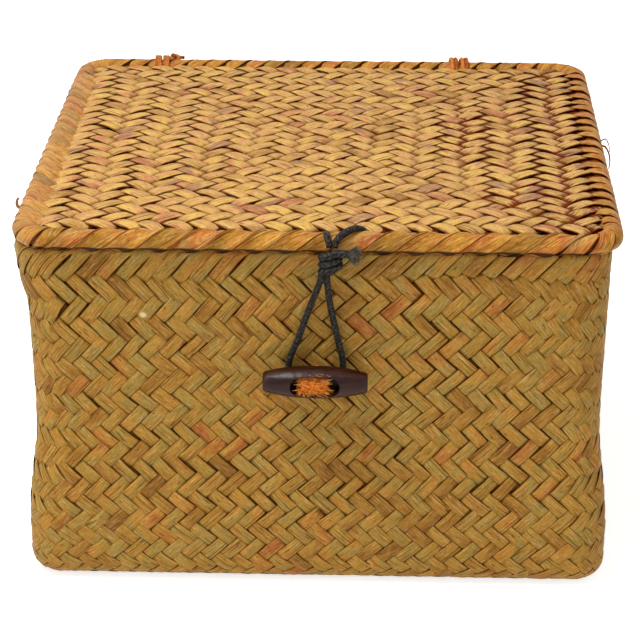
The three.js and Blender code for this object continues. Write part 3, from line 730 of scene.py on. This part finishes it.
def body_ribbon(family, fixed):
    """The ribbon of one body strip, with its own small faults."""
    (side, along, rise), lift = body_strip(family, fixed)
    sideways, droop = sway(side, along, rise)
    along, rise = along + sideways, rise - droop * (rise > 0)
    inside = rise < np.where(lift > 0, WALL_TOP + 1.4, 139.6)  # a strip that is under ends lower down
    side, along, rise, lift = side[inside], along[inside], np.minimum(rise[inside], WALL_TOP), lift[inside]
    limit = EDGE_LENGTHS[side] / 2 + np.minimum(rise, 0)
    along = np.clip(along + smooth_random(len(along), 10, 0.3), -limit, limit)
    places = (side, along, rise, lift, limit, *body_surface(side, along, rise, lift))
    keep = np.append(True, np.linalg.norm(np.diff(places[5], axis=0), axis=1) > 0.3)
    side, along, rise, lift, limit, centres, normals = (values[keep] for values in places)
    ahead, behind = (
        body_surface(side, np.clip(along + step, -limit, limit), rise, lift)[0] for step in (0.2, -0.2)
    )
    wide = STRIP_HALF * rng.normal(1, 0.03) * (
        1 + smooth_random(len(centres), 9, 0.045) + 0.04 * ease((rise - 90) / 40) + 0.04 * (side == 3)
    )
    slant = (ahead - behind, ease((rise - 128) / 7))  # towards the rim the rings lie level
    return ribbon(centres, normals, wide, STRIP_THICK, 0.05, lifted=lift / LIFT, slant=slant)


halfway_up = sway(np.array([0]), np.zeros(1), np.array([HEIGHT / 2]))
print("halfway up the front the weave is off by", np.round(halfway_up, 1).ravel(), "mm")

# %% All strips of the body, from rim to rim under the floor
for family in ("falling", "rising"):
    for part, first, last in (("left", -57, 0), ("right", 1, 58)):
        tubes = [body_ribbon(family, fixed) for fixed in range(first, last, 2)]
        name = f"body_strips_{family}_{part}"
        piece_of(name, tubes, (0, 1), body_leaf, "basket_body", "body_weave")


# %% [markdown]
# ## The lid's panel
# The lid is a flat rectangle of the same twill in wider, fuller strips. They rise higher over each
# other than the body's, so each one looks like a leaf, with dark slits at its ends. Towards the right
# edge they are narrower and leave open gaps.

# %% The lid's strips
LID_WIDTH, LID_DEPTH, LID_CORNER = 221.4, 207.4, 10.7  # to the middle of the lid's rolled edge
LID_HALF_X, LID_HALF_Y = 23, 24  # half the panel in half steps of its own, coarser lattice
LID_MIDDLE = 147.3
LID_STEPS = 4


def inside_by(x, y, half_x, half_y, corner):
    """How far inside a rounded rectangle a point is; negative outside."""
    beyond_x, beyond_y = np.abs(x) - half_x + corner, np.abs(y) - half_y + corner
    outside = np.hypot(np.maximum(beyond_x, 0), np.maximum(beyond_y, 0))
    return corner - outside - np.minimum(np.maximum(beyond_x, beyond_y), 0)


def lid_ribbon(family, fixed):
    """One strip of the lid, from roll to roll, or nothing where it would miss the panel."""
    u, v = crossings(LID_HALF_X, LID_HALF_Y, family, fixed)
    if len(u) < 3:
        return None
    side, level = nearest_side(u, v, LID_HALF_X, LID_HALF_Y)
    slash = twill(level + 1)
    over = np.where((side % 2 == 0) == (family == "rising"), slash, ~slash)
    lifted = weave_lift(over, LID_STEPS, 1.0, 0.5)
    x = finely(u * (LID_WIDTH - 3.6) / (2 * LID_HALF_X), LID_STEPS)
    y = finely(v * (LID_DEPTH - 3.6) / (2 * LID_HALF_Y), LID_STEPS)
    wander = smooth_random(len(x), 14, 0.45)
    x, y = x + wander, y + (wander if family == "falling" else -wander)
    share_x, share_y = x / (LID_WIDTH / 2), y / (LID_DEPTH / 2)
    inner = ease((1.02 - np.maximum(np.abs(share_x), np.abs(share_y))) / 0.2)
    x = x - 2.4 * np.sin(math.pi * share_x) + inner * (0.8 * np.sin(y / 17 + x / 60) + 0.5 * np.sin(y / 9))
    y = y + 0.8 * np.sin(math.pi * share_y) + inner * (0.7 * np.sin(x / 19 - y / 50) + 0.4 * np.sin(x / 8))
    puffed = ease((np.abs(x) - 25) / 45)
    loose = ease((x - 66) / 36)
    wide = (3.68 - 0.42 * loose) * rng.normal(1, 0.025) * (1 + smooth_random(len(x), 12, 0.05))
    wide = wide * (0.96 + 0.08 * lifted)
    within = inside_by(x, y, LID_WIDTH / 2, LID_DEPTH / 2, LID_CORNER)
    keep = within > 1.2
    if keep.sum() < 2 * LID_STEPS:
        return None
    z = LID_MIDDLE + lifted * (0.5 + 0.16 * puffed + 0.2 * loose) - 1.1 * ease((6.5 - within) / 4)
    centres = np.stack([x, y, z], axis=-1)[keep]
    normals = np.broadcast_to([0.0, 0.0, 1.0], centres.shape)
    return ribbon(centres, normals, wide[keep], 0.45, 0.34, 0.16, lifted[keep])


for family in ("falling", "rising"):
    tubes = [lid_ribbon(family, fixed) for fixed in range(-46, 47, 2)]
    tubes = [made for made in tubes if made is not None]
    piece_of(f"lid_strips_{family}", tubes, (0, 1), lid_leaf, "lid", "lid_weave")

# %% [markdown]
# ## The rolled edges
# The lid ends in a thick roll: a core with separate strips wound round it on the slant. Along the front
# they lie long and smooth like a twisted rope, and on the other sides they are shorter and shingled.
# The body's mouth has a thinner roll of the same kind inside it.


# %% Round a loop
def round_loop(half_x, half_y, corner, distance):
    """Places and outward directions on a rounded rectangle, from the front's left end, anticlockwise."""
    quarter = corner * math.pi / 2
    lengths = np.array([2 * (half_x - corner), quarter, 2 * (half_y - corner), quarter] * 2)
    starts = np.concatenate([[0], np.cumsum(lengths)])
    distance = np.mod(distance, starts[-1])
    index = np.clip(np.searchsorted(starts, distance, side="right") - 1, 0, 7)
    gone, side = distance - starts[index], index // 2
    facing = side % 2 == 0
    half_along = np.where(facing, half_x, half_y) - corner
    half_out = np.where(facing, half_y, half_x) - corner
    angle = np.where(index % 2 == 1, gone / corner, 0)
    run = np.where(index % 2 == 1, half_along, gone - half_along)
    out = OUT[side] * np.cos(angle)[:, None] + ALONG[side] * np.sin(angle)[:, None]
    return ALONG[side] * run[:, None] + OUT[side] * half_out[:, None] + out * corner, out


def loop_length(half_x, half_y, corner):
    """The way round a rounded rectangle."""
    return 4 * (half_x + half_y) - 8 * corner + 2 * math.pi * corner


LID_LOOP = (LID_WIDTH / 2, LID_DEPTH / 2, LID_CORNER)
around = loop_length(*LID_LOOP)
print("the lid's edge is", round(around), "mm round")


# %% Wound strips, tubes and smooth lines
FALL = 0.028  # how soon a strip that leaves the top of a roll inwards bends down


def wound_strip(loop, level, start, advance, radius, span, half_width, thickness, arch, tilt, rings, flat=0.0):
    """One strip wound round a loop: span is where it starts and ends, in degrees up from outwards.

    Where flat is 1, it leaves the top straight inwards, level with what it comes out of.
    """
    turn = np.radians(np.linspace(*span, rings))
    place, out = round_loop(*loop, start + advance * turn / (2 * math.pi))
    radial = np.column_stack([out * np.cos(turn)[:, None], np.sin(turn)])
    gone = np.maximum(turn - math.pi / 2, 0)[:, None] * radius
    flat_path = np.concatenate([-out * gone, radius - FALL * gone**2], axis=1)
    flat_normal = np.concatenate([out * 2 * FALL * gone, np.ones((rings, 1))], axis=1)
    share = flat * (turn > math.pi / 2)[:, None]
    path = radial * radius * (1 - share) + flat_path * share
    normal = radial * (1 - share) + flat_normal * share
    centres = np.column_stack([place, np.full(rings, level)]) + path
    centres = lean_out(centres) if level < RIM_TOP else centres
    ends = np.minimum(np.linspace(0, 1, rings), np.linspace(1, 0, rings)) * rings
    return ribbon(centres, normal, half_width * np.clip(0.55 + 0.2 * ends, 0, 1), thickness, arch, tilt)


def tube(points, radius, sides=8, start=0.0, shown=1.0):
    """Rings of a round cord along points, its map, and how far it lies in the open."""
    points = np.asarray(points, float)
    runs = unit(np.gradient(points, axis=0))
    first = np.array([0.3, 0.2, 1.0]) if abs(runs[0, 2]) < 0.8 else np.array([1.0, 0.2, 0.1])
    firsts = []
    for run in runs:
        first = unit(first - run * first.dot(run))
        firsts.append(first)
    firsts = np.array(firsts)
    seconds = np.cross(runs, firsts)
    angles = np.arange(sides) * 2 * math.pi / sides
    thick = np.broadcast_to(radius, len(points))[:, None, None]
    rings = points[:, None] + thick * (
        firsts[:, None] * np.cos(angles)[None, :, None] + seconds[:, None] * np.sin(angles)[None, :, None]
    )
    return rings, line_map(points, np.arange(sides) / sides, start), np.full((len(points), sides), shown)


def smooth_line(points, spacing=0.7):
    """A centripetal Catmull-Rom line through points."""
    p = np.asarray(points, float)
    p = np.vstack([2 * p[0] - p[1], p, 2 * p[-1] - p[-2]])
    out = []
    for a, b, c, d in zip(p, p[1:], p[2:], p[3:]):
        t1, t2, t3 = (max(np.linalg.norm(v) ** 0.5, 1e-6) for v in (b - a, c - b, d - c))
        m1 = (c - b) + t2 * ((b - a) / t1 - (c - a) / (t1 + t2))
        m2 = (c - b) + t2 * ((d - c) / t3 - (d - b) / (t2 + t3))
        n = max(int(np.linalg.norm(c - b) / spacing), 2)
        u = np.arange(n)[:, None] / n
        out.append(
            (2 * u**3 - 3 * u**2 + 1) * b + (u**3 - 2 * u**2 + u) * m1
            + (3 * u**2 - 2 * u**3) * c + (u**3 - u**2) * m2
        )
    return np.vstack(out + [p[-2][None]])


bend = smooth_line([[0, 0, 0], [10, 0, 0], [10, 10, 0]])
print("a bend of", round(length_along(bend)[-1], 1), "mm is drawn with", len(bend), "points")

# %% Where the lid's rolled edge changes its style
LID_LEVEL = 145.2
front_run, side_run, arc = LID_WIDTH - 2 * LID_CORNER, LID_DEPTH - 2 * LID_CORNER, LID_CORNER * math.pi / 2
half_runs = (front_run / 2, side_run / 2, front_run / 2, side_run / 2)
# Where the middles of the sides and of the corners lie on the way round, from the front's left end.
side_middles = np.cumsum([front_run / 2] + [(front_run + side_run) / 2 + arc] * 3)
corner_middles = side_middles + np.array(half_runs) + arc / 2


def roll_style(distance):
    """How far a place on the lid's edge belongs to a corner, and to the front, right, back and left."""
    def apart(place):
        return min(abs(distance - place), around - abs(distance - place))

    corner = max(float(ease((17 - apart(middle)) / 9)) for middle in corner_middles)
    sides = [float(ease((half + 10 - apart(middle)) / 20)) for half, middle in zip(half_runs, side_middles)]
    return corner, *sides


print("corner, front, right, back and left at its start:", np.round(roll_style(0.0), 2))

# %% The lid's rolled edge
tubes, distance = [], 0.0
while distance < around - 3:
    corner, on_front, on_right, on_back, on_left = roll_style(distance)
    long_front = on_front * (1 - corner)
    pitch = 8.8 + 3.2 * long_front - 2.6 * corner
    advance = 22.0 + 14.0 * long_front - 9.0 * corner
    radius = 3.75 - 0.5 * on_front
    slant = math.atan2(2 * math.pi * radius, advance)
    fullness = 1.16 + 0.14 * on_front - 0.24 * on_right - 0.1 * on_back
    half = pitch * math.sin(slant) / 2 * fullness * rng.uniform(0.93 - 0.1 * on_right, 1.07)
    start = distance + rng.uniform(-0.5, 0.5) * (1 + 2.4 * on_right)
    radius += rng.uniform(-0.06, 0.06)
    span = (-165, 172 + 30 * on_left * (1 - corner))
    arch = 0.08 + 0.1 * corner - 0.08 * on_front + 0.12 * on_left
    tilt = 0.06 - 0.02 * on_front + 0.04 * on_left
    flat = (0.85 * on_left + 0.7 * on_right + 0.6 * on_back + 0.15 * on_front) * (1 - 0.6 * corner)
    level = LID_LEVEL - 0.45 * on_front
    tubes.append(wound_strip(LID_LOOP, level, start, advance, radius, span, half, 0.45, arch, tilt, 28, flat))
    distance += pitch
left_route = [
    [-112.5, -74, 145.2], [-115.2, -73.5, 145.2], [-116.4, -73, 146.2],
    [-116.3, -72.6, 148.2], [-115.7, -72.4, 149],
]
right_route = [[114, 2, 146.5], [115.6, -3, 147.5], [116.4, -12, 147.2], [115.9, -20, 146.4], [115, -26, 146.6]]
short_route = [[114.3, 6, 147], [116, 4, 148.6], [116.9, -2, 148.4], [116.8, -9, 147.6]]
for thick, fibre_route in ((0.85, left_route), (0.45, right_route), (0.28, short_route)):
    line = smooth_line(fibre_route)
    tubes.append(tube(line, thick * np.linspace(1, 0.5, len(line)), 5, shown=0.42))
numbers = np.append(rng.uniform(0, 1, len(tubes) - 3), [0.02, 0.3, 0.5])
piece_of("lid_roll_wraps", tubes, numbers, roll_leaf, "lid", "lid_rim_roll")

core_at = np.linspace(0, around, 240)
thin = np.array([roll_style(distance)[1] for distance in core_at])
place, _ = round_loop(*LID_LOOP, core_at)
# The core gets only a small share in the open, so it takes the under colour: painted shade, because it is seen
# only between the wraps.
core = tube(np.column_stack([place, LID_LEVEL - 0.1 - 0.4 * thin]), 3.3 - 0.5 * thin, 12, shown=0.4)
piece_of("lid_roll_core", [core], [0.3], roll_leaf, "lid", "lid_rim_roll")

# %% The rolled edge inside the body's mouth
MOUTH_LOOP = (106.05, 99.05, 7.45)
MOUTH_LEVEL = 137.5
around = loop_length(*MOUTH_LOOP)
count = round(around / 7.6)
pitch = around / count
tubes = []
for i in range(count):
    start = (i + rng.uniform(-0.06, 0.06)) * pitch
    radius, span, half = 2.45, (-175, 175), 2.75
    tubes.append(wound_strip(MOUTH_LOOP, MOUTH_LEVEL, start, 2 * pitch, radius, span, half, 0.5, 0.15, 0.2, 18))
piece_of("mouth_roll_wraps", tubes, (0, 1), body_leaf, "basket_body", "body_rim_roll")
place, _ = round_loop(*MOUTH_LOOP, np.linspace(0, around, 200))
# The core gets no share in the open, so it takes the under colour: painted shade, because it is seen only
# between the wraps.
core = tube(lean_out(np.column_stack([place, np.full(200, MOUTH_LEVEL)])), 2.15, 10, shown=0.3)
piece_of("mouth_roll_core", [core], [0.7], body_leaf, "basket_body", "body_rim_roll")

# %% [markdown]
# ## The black cord
# One waxed cord goes over the lid's roll and through the panel, is wound round itself in a knot, and
# hangs down as a loop that hooks behind the toggle. Its routes are those of the model. Fine crossing
# ridges show its braid, and its short end is frayed.


# %% Black cord: its braid, and the hitch over the roll
def braided(name, light, dark, ridge, rough):
    """A braided cord's finish: crossing ridges from its own map, with lights on them."""
    material, tree, shader = new_material(name)
    uv = add(tree, "UVMap", uv_map="strip_map").outputs[0]
    along, share_round, _ = add(tree, "SeparateXYZ", {0: uv}).outputs
    run, turn = times(along, 2 * math.pi / ridge), times(share_round, 8 * math.pi)
    # The ridge tops take the lighter colour, broken up by noise: partly wear, partly a painted highlight.
    ridges = scaled(larger(sine(plus(run, turn)), sine(minus(run, turn))), 0.5, 0.5)
    # The share round the cord is brought down to metres, about as many as the cord is round.
    spread = add(tree, "VectorMath", {0: uv, 1: (1, 0.0078, 1)}, operation="MULTIPLY").outputs[0]
    worn = ramp_between(noise(spread, 900.0, 2.0), 0.35, 0.75)
    give(shader, {
        "Base Color": mix(times(ridges, worn), linear(*dark), linear(*light)),
        "Roughness": rough,
        "Specular IOR Level": 0.14,
        "Normal": bump(ridges, 0.6, 0.0003),
    })
    return material


black_cord = braided("black waxed cord", (74, 68, 60), (8, 7, 7), 0.0016, 0.45)
CORD = 1.25  # its radius
hitch_route = [
    [5.3, -110.51, 145.35], [4.9, -109.61, 147.2], [4.3, -108.5, 148.6], [4.05, -107.0, 149.0],
    [3.95, -105.4, 148.9], [3.9, -104.0, 148.2], [3.9, -102.4, 146.6], [4.3, -99.6, 144.7], [7.4, -97.7, 143.9],
    [13.9, -97.3, 143.9], [17.0, -97.9, 144.6], [18.1, -99.3, 146.9], [17.1, -101.5, 149.2],
    [14.2, -104.4, 150.6], [11.0, -106.9, 150.2], [8.8, -108.6, 148.9], [7.6, -109.81, 147.3],
    [7.02, -110.61, 145.35],
]
hitch = tube(smooth_line(hitch_route), CORD, 12)
piece_of("cord_hitch", [hitch], [0.2], black_cord, "lid", "closure_hitch")

# %% The knot and the loop
KNOT = np.array([5.6, -111.95, 140.319])
turns = np.radians(np.linspace(180, 180 + 2.25 * 360, 60))
knot_height = np.linspace(-3.2, 3.2, 60) + 0.75 * np.cos(turns)
knot_line = np.stack([3.3 * np.cos(turns), 2.45 * np.sin(turns), knot_height], axis=-1)
tail = [[2.25, -2.7, 4.3], [4.2, -3.0, 4.4], [5.8, -3.0, 4.3], [7.0, -2.9, 4.2]]
knot_line = smooth_line(np.vstack([knot_line, tail]) + KNOT, 0.6)
heart = tube(np.linspace([0, 0, -3.6], [0, 0, 3.9], 8) + KNOT, 1.7, 12)
knot = [tube(knot_line, CORD * 1.16, 12), heart]
piece_of("cord_knot", knot, [0.4, 0.6], black_cord, "lid", "closure_knot")

loop_route = [
    [2.3, -111.2, 135.29], [1.6, -110.3, 131.34], [-1.73, -106.79, 120.97], [-6.37, -105.86, 107.14],
    [-10.3, -105.61, 94.79], [-8.28, -105.5, 88.62], [0, -105.45, 85.9], [8.08, -105.5, 88.62],
    [10.3, -105.61, 94.79], [8.02, -105.86, 107.14], [5.33, -106.79, 120.97], [4.4, -109.5, 131.34],
    [4.3, -110.2, 135.29],
]
loop_line = smooth_line(loop_route)
loop_turn = ("lid", "loop", (0, -0.111, 0.886), (0, -0.111, -0.114))
loop = tube(loop_line, CORD, 12)
cord_loop = piece_of("cord_loop", [loop], [0.5], black_cord, loop_turn, "closure_loop")

# %% [markdown]
# ## Fibres
# The cord's frayed end and the tuft in the toggle are thin fibres that taper to a point.


# %% Fibres
def hair(start, end, bend, radius):
    """One tapered fibre from start to end, bent sideways."""
    start, end, bend = (np.asarray(v, float) for v in (start, end, bend))
    share = np.linspace(0, 1, 5)[:, None]
    line = start + (end - start) * share + bend * 4 * share * (1 - share)
    return tube(line, radius * np.linspace(1, 0.25, 5), 4)


def brush(base, heading, length, spread, root, count, radius):
    """Fibres that fan out from a round root towards a heading."""
    heading = unit(np.asarray(heading, float))
    hairs = []
    for _ in range(count):
        off = rng.normal(0, 1, 3)
        off -= heading * off.dot(heading)
        off = unit(off) * rng.uniform(0, 1) ** 0.5
        way = unit(heading + off * spread + rng.normal(0, 0.12, 3))
        start = base + off * root
        end = start + way * length * rng.uniform(0.6, 1.1)
        hairs.append(hair(start, end, rng.normal(0, 0.12, 3) * length / 3, radius))
    return hairs


tail_end = knot_line[-1]
tail_way = unit(knot_line[-1] - knot_line[-4])
bristle = braided("frayed cord", (184, 176, 158), (52, 46, 38), 0.0011, 0.7)
hairs = brush(tail_end, tail_way + np.array([0.1, -0.2, 0.0]), 4.4, 0.8, 1.5, 220, 0.14)
hairs += brush(tail_end + tail_way * 1.7, np.array([0.35, -1.0, 0.0]), 2.3, 1.5, 1.6, 240, 0.14)
piece_of("cord_frayed_end", hairs, (0, 1), bristle, "lid", "closure_knot")

# %% [markdown]
# ## The toggle
# A turned barrel of dark wood with a slot across its front. A coarse fibre cord holds it from behind,
# and the cord's frayed orange end fills the slot.

# %% Toggle: the turned barrel
TOGGLE_Y, TOGGLE_Z = -113.452, 91.7
HALF_LENGTH, END, MIDDLE, WORN = 19.8, 3.9, 6.2, 0.7  # half its length, its radii and its worn rim


def edit_mode():
    """Go on in edit mode, with everything selected."""
    bpy.ops.object.mode_set(mode="EDIT")
    bpy.ops.mesh.select_all(action="SELECT")


bpy.ops.object.select_all(action="DESELECT")
at, radius = -HALF_LENGTH, END - WORN
turned_up = (0, math.pi / 2, 0)
bpy.ops.mesh.primitive_circle_add(vertices=56, radius=radius * MM, fill_type="NGON", rotation=turned_up)
barrel = bpy.context.object
barrel.name = "toggle_wood_barrel"
bpy.ops.object.transform_apply(location=False, rotation=True, scale=False)
edit_mode()
bpy.ops.transform.translate(value=(at * MM, 0, 0))
stages = [(-HALF_LENGTH + 0.2, END - 0.3), (-HALF_LENGTH + WORN, END)]
for share in np.linspace(-1, 1, 27)[1:-1]:
    stages.append((share * (HALF_LENGTH - WORN), END + (MIDDLE - END) * (1 - abs(share) ** 2.3)))
stages += [(HALF_LENGTH - WORN, END), (HALF_LENGTH - 0.2, END - 0.3), (HALF_LENGTH, radius)]
for next_at, next_radius in stages:
    step, scale = (next_at - at) * MM, next_radius / radius
    bpy.ops.mesh.extrude_region_move(TRANSFORM_OT_translate={"value": (step, 0, 0)})
    bpy.ops.transform.resize(value=(1, scale, scale))
    at, radius = next_at, next_radius
bpy.ops.mesh.select_all(action="SELECT")
bpy.ops.mesh.normals_make_consistent(inside=False)
bpy.ops.mesh.select_all(action="DESELECT")
bpy.ops.object.mode_set(mode="OBJECT")
print("barrel rings:", len(stages) + 1)

# %% Toggle: the slot across its front
bpy.ops.object.select_all(action="DESELECT")
bpy.ops.mesh.primitive_cube_add(size=1)
cutter = bpy.context.object
edit_mode()
bpy.ops.transform.resize(value=(18.8 * MM, 20 * MM, 7.7 * MM))
bpy.ops.transform.translate(value=(0, (-MIDDLE + 8.6 - 10) * MM, 0))  # 8.6 deep from the front
bpy.ops.object.mode_set(mode="OBJECT")
weight = cutter.data.attributes.new("bevel_weight_edge", "FLOAT", "EDGE")
for edge in cutter.data.edges:
    front, back = (cutter.data.vertices[index].co.y for index in edge.vertices)
    weight.data[edge.index].value = 1.0 if abs(front - back) > 0.01 else 0.0
rounding = cutter.modifiers.new("rounded ends", "BEVEL")
rounding.limit_method, rounding.width, rounding.segments = "WEIGHT", 3.8 * MM, 10
slotting = barrel.modifiers.new("slot", "BOOLEAN")
slotting.operation, slotting.object, slotting.solver = "DIFFERENCE", cutter, "EXACT"
softened = barrel.modifiers.new("worn edges", "BEVEL")
softened.width, softened.segments, softened.angle_limit = 0.45 * MM, 3, math.radians(50)
bpy.context.view_layer.update()
bpy.context.view_layer.objects.active = barrel
bpy.ops.object.select_all(action="DESELECT")
barrel.select_set(True)
for modifier in ("slot", "worn edges"):
    bpy.ops.object.modifier_apply(modifier=modifier)
bpy.data.objects.remove(cutter)
barrel.data.transform(Matrix.Translation((0, TOGGLE_Y * MM, TOGGLE_Z * MM)))
bpy.ops.object.shade_smooth_by_angle(angle=math.radians(38))
print("barrel faces:", len(barrel.data.polygons))

# %% Toggle: dark stained wood
toggle_wood, tree, shader = new_material("dark stained wood")
place = add(tree, "TexCoord").outputs["Object"]
drawn_grain, drawn_pores = (
    add(tree, "Mapping", {"Vector": place, "Scale": scale}).outputs[0]
    for scale in ((60, 420, 420), (500, 2400, 2400))
)
grain = noise(drawn_grain, 1.0, 4.0)
pores = ramp_between(noise(drawn_pores, 1.0, 2.0), 0.62, 0.72)
stain = colour_ramp(grain, [(0.3, 24, 9, 4), (0.5, 42, 17, 10), (0.72, 62, 30, 18)])
dents = bump(noise(place, 330.0, 2.0), 0.3, 0.001)
give(shader, {
    "Base Color": lay_over(stain, pores, 28, 14, 14, 0.6),
    "Specular IOR Level": 0.19,
    "Roughness": scaled(grain, 0.5, 0.1),
    "Normal": bump(grain, 0.3, 0.0004, Normal=dents),
})
barrel.data.materials.append(toggle_wood)
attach(barrel, "toggle")
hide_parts("toggle_barrel")
print("toggle wood is dark")


# %% Coarse fibre cord: the stem and the stopper
def coir_material(name, stops, rough):
    """Coarse fibre: each hair a little different, with blots."""
    material, tree, shader = new_material(name)
    number = add(tree, "Attribute", attribute_name="strip_number").outputs["Fac"]
    blots = noise(add(tree, "TexCoord").outputs["Object"], 700.0, 2.0)
    give(shader, {
        "Base Color": colour_ramp(scaled(number, 0.5, times(blots, 0.5)), stops),
        "Roughness": rough,
        "Specular IOR Level": 0.04,
        "Normal": bump(blots, 0.4, 0.0003),
    })
    return material


def twisted(points, radius, strands, twist):
    """A cord of strands twisted round a line."""
    points = np.asarray(points, float)
    base, _, _ = tube(points, 1.0, 4)
    u, v = base[:, 0] - points, base[:, 1] - points
    made = []
    for k in range(strands):
        angle = length_along(points) / twist * 2 * math.pi + k * 2 * math.pi / strands
        line = points + (u * np.cos(angle)[:, None] + v * np.sin(angle)[:, None]) * radius * 0.48
        made.append(tube(line, radius * 0.56))
    return made


orange = [(0.2, 152, 70, 12), (0.4, 228, 132, 44), (0.6, 246, 164, 70), (0.85, 250, 202, 128)]
coir = coir_material("orange coir", orange, 0.75)
stem = twisted(np.linspace([0, -92.9, TOGGLE_Z], [0, -112.0, TOGGLE_Z], 30), 2.45, 4, 11.0)
piece_of("toggle_fibre_stem", stem, (0, 1), coir, "basket_body", "toggle_stem")
turns = np.linspace(0, 2, 60) * 2 * math.pi
stopper_line = np.stack(
    [4.2 * np.cos(turns), -100.0 + np.linspace(0.5, 7.7, 60), TOGGLE_Z + 4.2 * np.sin(turns)], axis=-1
)
stopper = twisted(stopper_line, 1.45, 3, 6.0)
piece_of("toggle_fibre_stopper", stopper, (0, 1), coir, "basket_body", "toggle_stopper")

# %% The tuft in the slot
TUFT_Y = -118.9  # the middle of its front
hairs = []
for _ in range(640):
    x, z = rng.uniform(-5.9, 4.3), rng.uniform(-3.4, 4.6)
    if ((x + 0.6) / 5.9) ** 4 + ((z - 0.5) / 4.2) ** 4 > 1:
        continue  # outside the slot's rounded outline
    high = TUFT_Y + 1.4 * (abs(z) / 3.8) ** 3 + rng.uniform(-0.7, 1.5) + 1.2 * max(x - 3, 0) / 3
    lean = rng.normal(1.1, 1.4) + 0.2 * x
    start = np.array([x - 0.5 * lean, high + 2.2, z * 0.9 + TOGGLE_Z])
    end = np.array([x + 0.7 * lean, high - rng.uniform(0, 0.8), z * 1.05 + rng.normal(0.1, 0.6) + TOGGLE_Z])
    hairs.append(hair(start, end, rng.normal(0, 0.28, 3), rng.uniform(0.11, 0.2)))
mound_line = np.linspace([-5.8, -115.0, TOGGLE_Z], [4.4, -115.0, TOGGLE_Z], 12)
mound_radius = 3.6 * np.sqrt(np.clip(1 - np.linspace(-1, 1, 12) ** 4, 0.1, 1))
hairs.append(tube(mound_line, mound_radius, 12))
numbers = rng.uniform(0.1, 1, len(hairs))
# The mound's darkest colour is painted shade deep under the hairs.
numbers[-1] = 0.12  # the mound under the hairs is the darkest
piece_of("toggle_tuft_fibres", hairs, numbers, coir, "toggle", "toggle_tuft")

# %% [markdown]
# ## The ties at the back
# Twine strips go twice round both rolled edges and hold the lid as a hinge. They are knotted at the
# back, the left one with a short end.

# %% Hinge ties
brown = [(0.2, 116, 54, 20), (0.45, 174, 98, 42), (0.65, 204, 130, 64), (0.85, 228, 170, 110)]
tie_twine = coir_material("tie twine", brown, 0.6)
TIE_OUTLINE = [
    [109.2, 145.3], [108.8, 147.35], [107.66, 149.11], [105.95, 150.32], [103.91, 150.8], [101.84, 150.47],
    [100.04, 149.41], [98.78, 147.74], [97.99, 145.79], [97.22, 143.83], [96.46, 141.86], [95.69, 139.9],
    [95.07, 137.9], [95.41, 135.84], [96.73, 134.24], [98.68, 133.52], [100.79, 133.5], [102.9, 133.5],
    [104.99, 133.57], [106.07, 135.28], [106.75, 137.27], [107.44, 139.26], [108.12, 141.25], [108.81, 143.24],
]


def tie_turns(centre_x, pitch, offsets, radius):
    """The strands of one tie, side by side, twice round both rolls."""
    outline = np.array(TIE_OUTLINE * 2 + TIE_OUTLINE[:1])
    turn = np.arange(len(outline)) / len(TIE_OUTLINE)
    made = []
    for offset in offsets:
        line = smooth_line(np.column_stack([centre_x + pitch * (turn - 1) + offset, outline]), 0.8)
        made.append(tube(line, radius, 8, rng.uniform(0, 1)))
    return made


def knot_lump(centre, size, radius, angle):
    """A strand knotted over itself."""
    t = np.linspace(0, 2 * math.pi, 60)
    x = (np.sin(t) + 2 * np.sin(2 * t)) / 3 * size[0]
    z = (np.cos(t) - 2 * np.cos(2 * t)) / 3 * size[2]
    c, s = math.cos(angle), math.sin(angle)
    return tube(np.stack([x * c - z * s, -np.sin(3 * t) * size[1], x * s + z * c], axis=-1) + centre, radius)


left_tie = tie_turns(-76.0, 3.5, (-0.85, 0, 0.85), 0.62)
piece_of("tie_left_strands", left_tie, (0.2, 1), tie_twine, "basket_body", "hinge_tie_left")
right_tie = tie_turns(59.5, 4.7, (-0.95, 0.95), 0.95)
piece_of("tie_right_strands", right_tie, (0.1, 0.7), tie_twine, "basket_body", "hinge_tie_right")

knot_centre = np.array([-73.2, 111.3, 146.9])
short_end = smooth_line(knot_centre + np.array([[1, 0, 0.6], [3.2, -0.4, 1.5], [5.4, -0.2, 1.3]]))
left_knot = [
    knot_lump(knot_centre, (3.4, 0.9, 2.0), 0.95, 0.2),
    knot_lump(knot_centre + [0.4, 0.3, 0.2], (2.4, 0.7, 1.6), 0.85, 1.3),
    tube(short_end, 0.75),
]
piece_of("tie_left_knot", left_knot, (0.1, 0.6), tie_twine, "basket_body", "hinge_knot_left")
knot_centre = np.array([59.5, 111.2, 143.25])
right_knot = [
    knot_lump(knot_centre, (3.4, 0.8, 1.9), 0.95, -0.25),
    knot_lump(knot_centre + [-0.4, 0.2, 0.1], (2.4, 0.7, 1.5), 0.85, 1.0),
]
piece_of("tie_right_knot", right_knot, (0.1, 0.6), tie_twine, "basket_body", "hinge_knot_right")
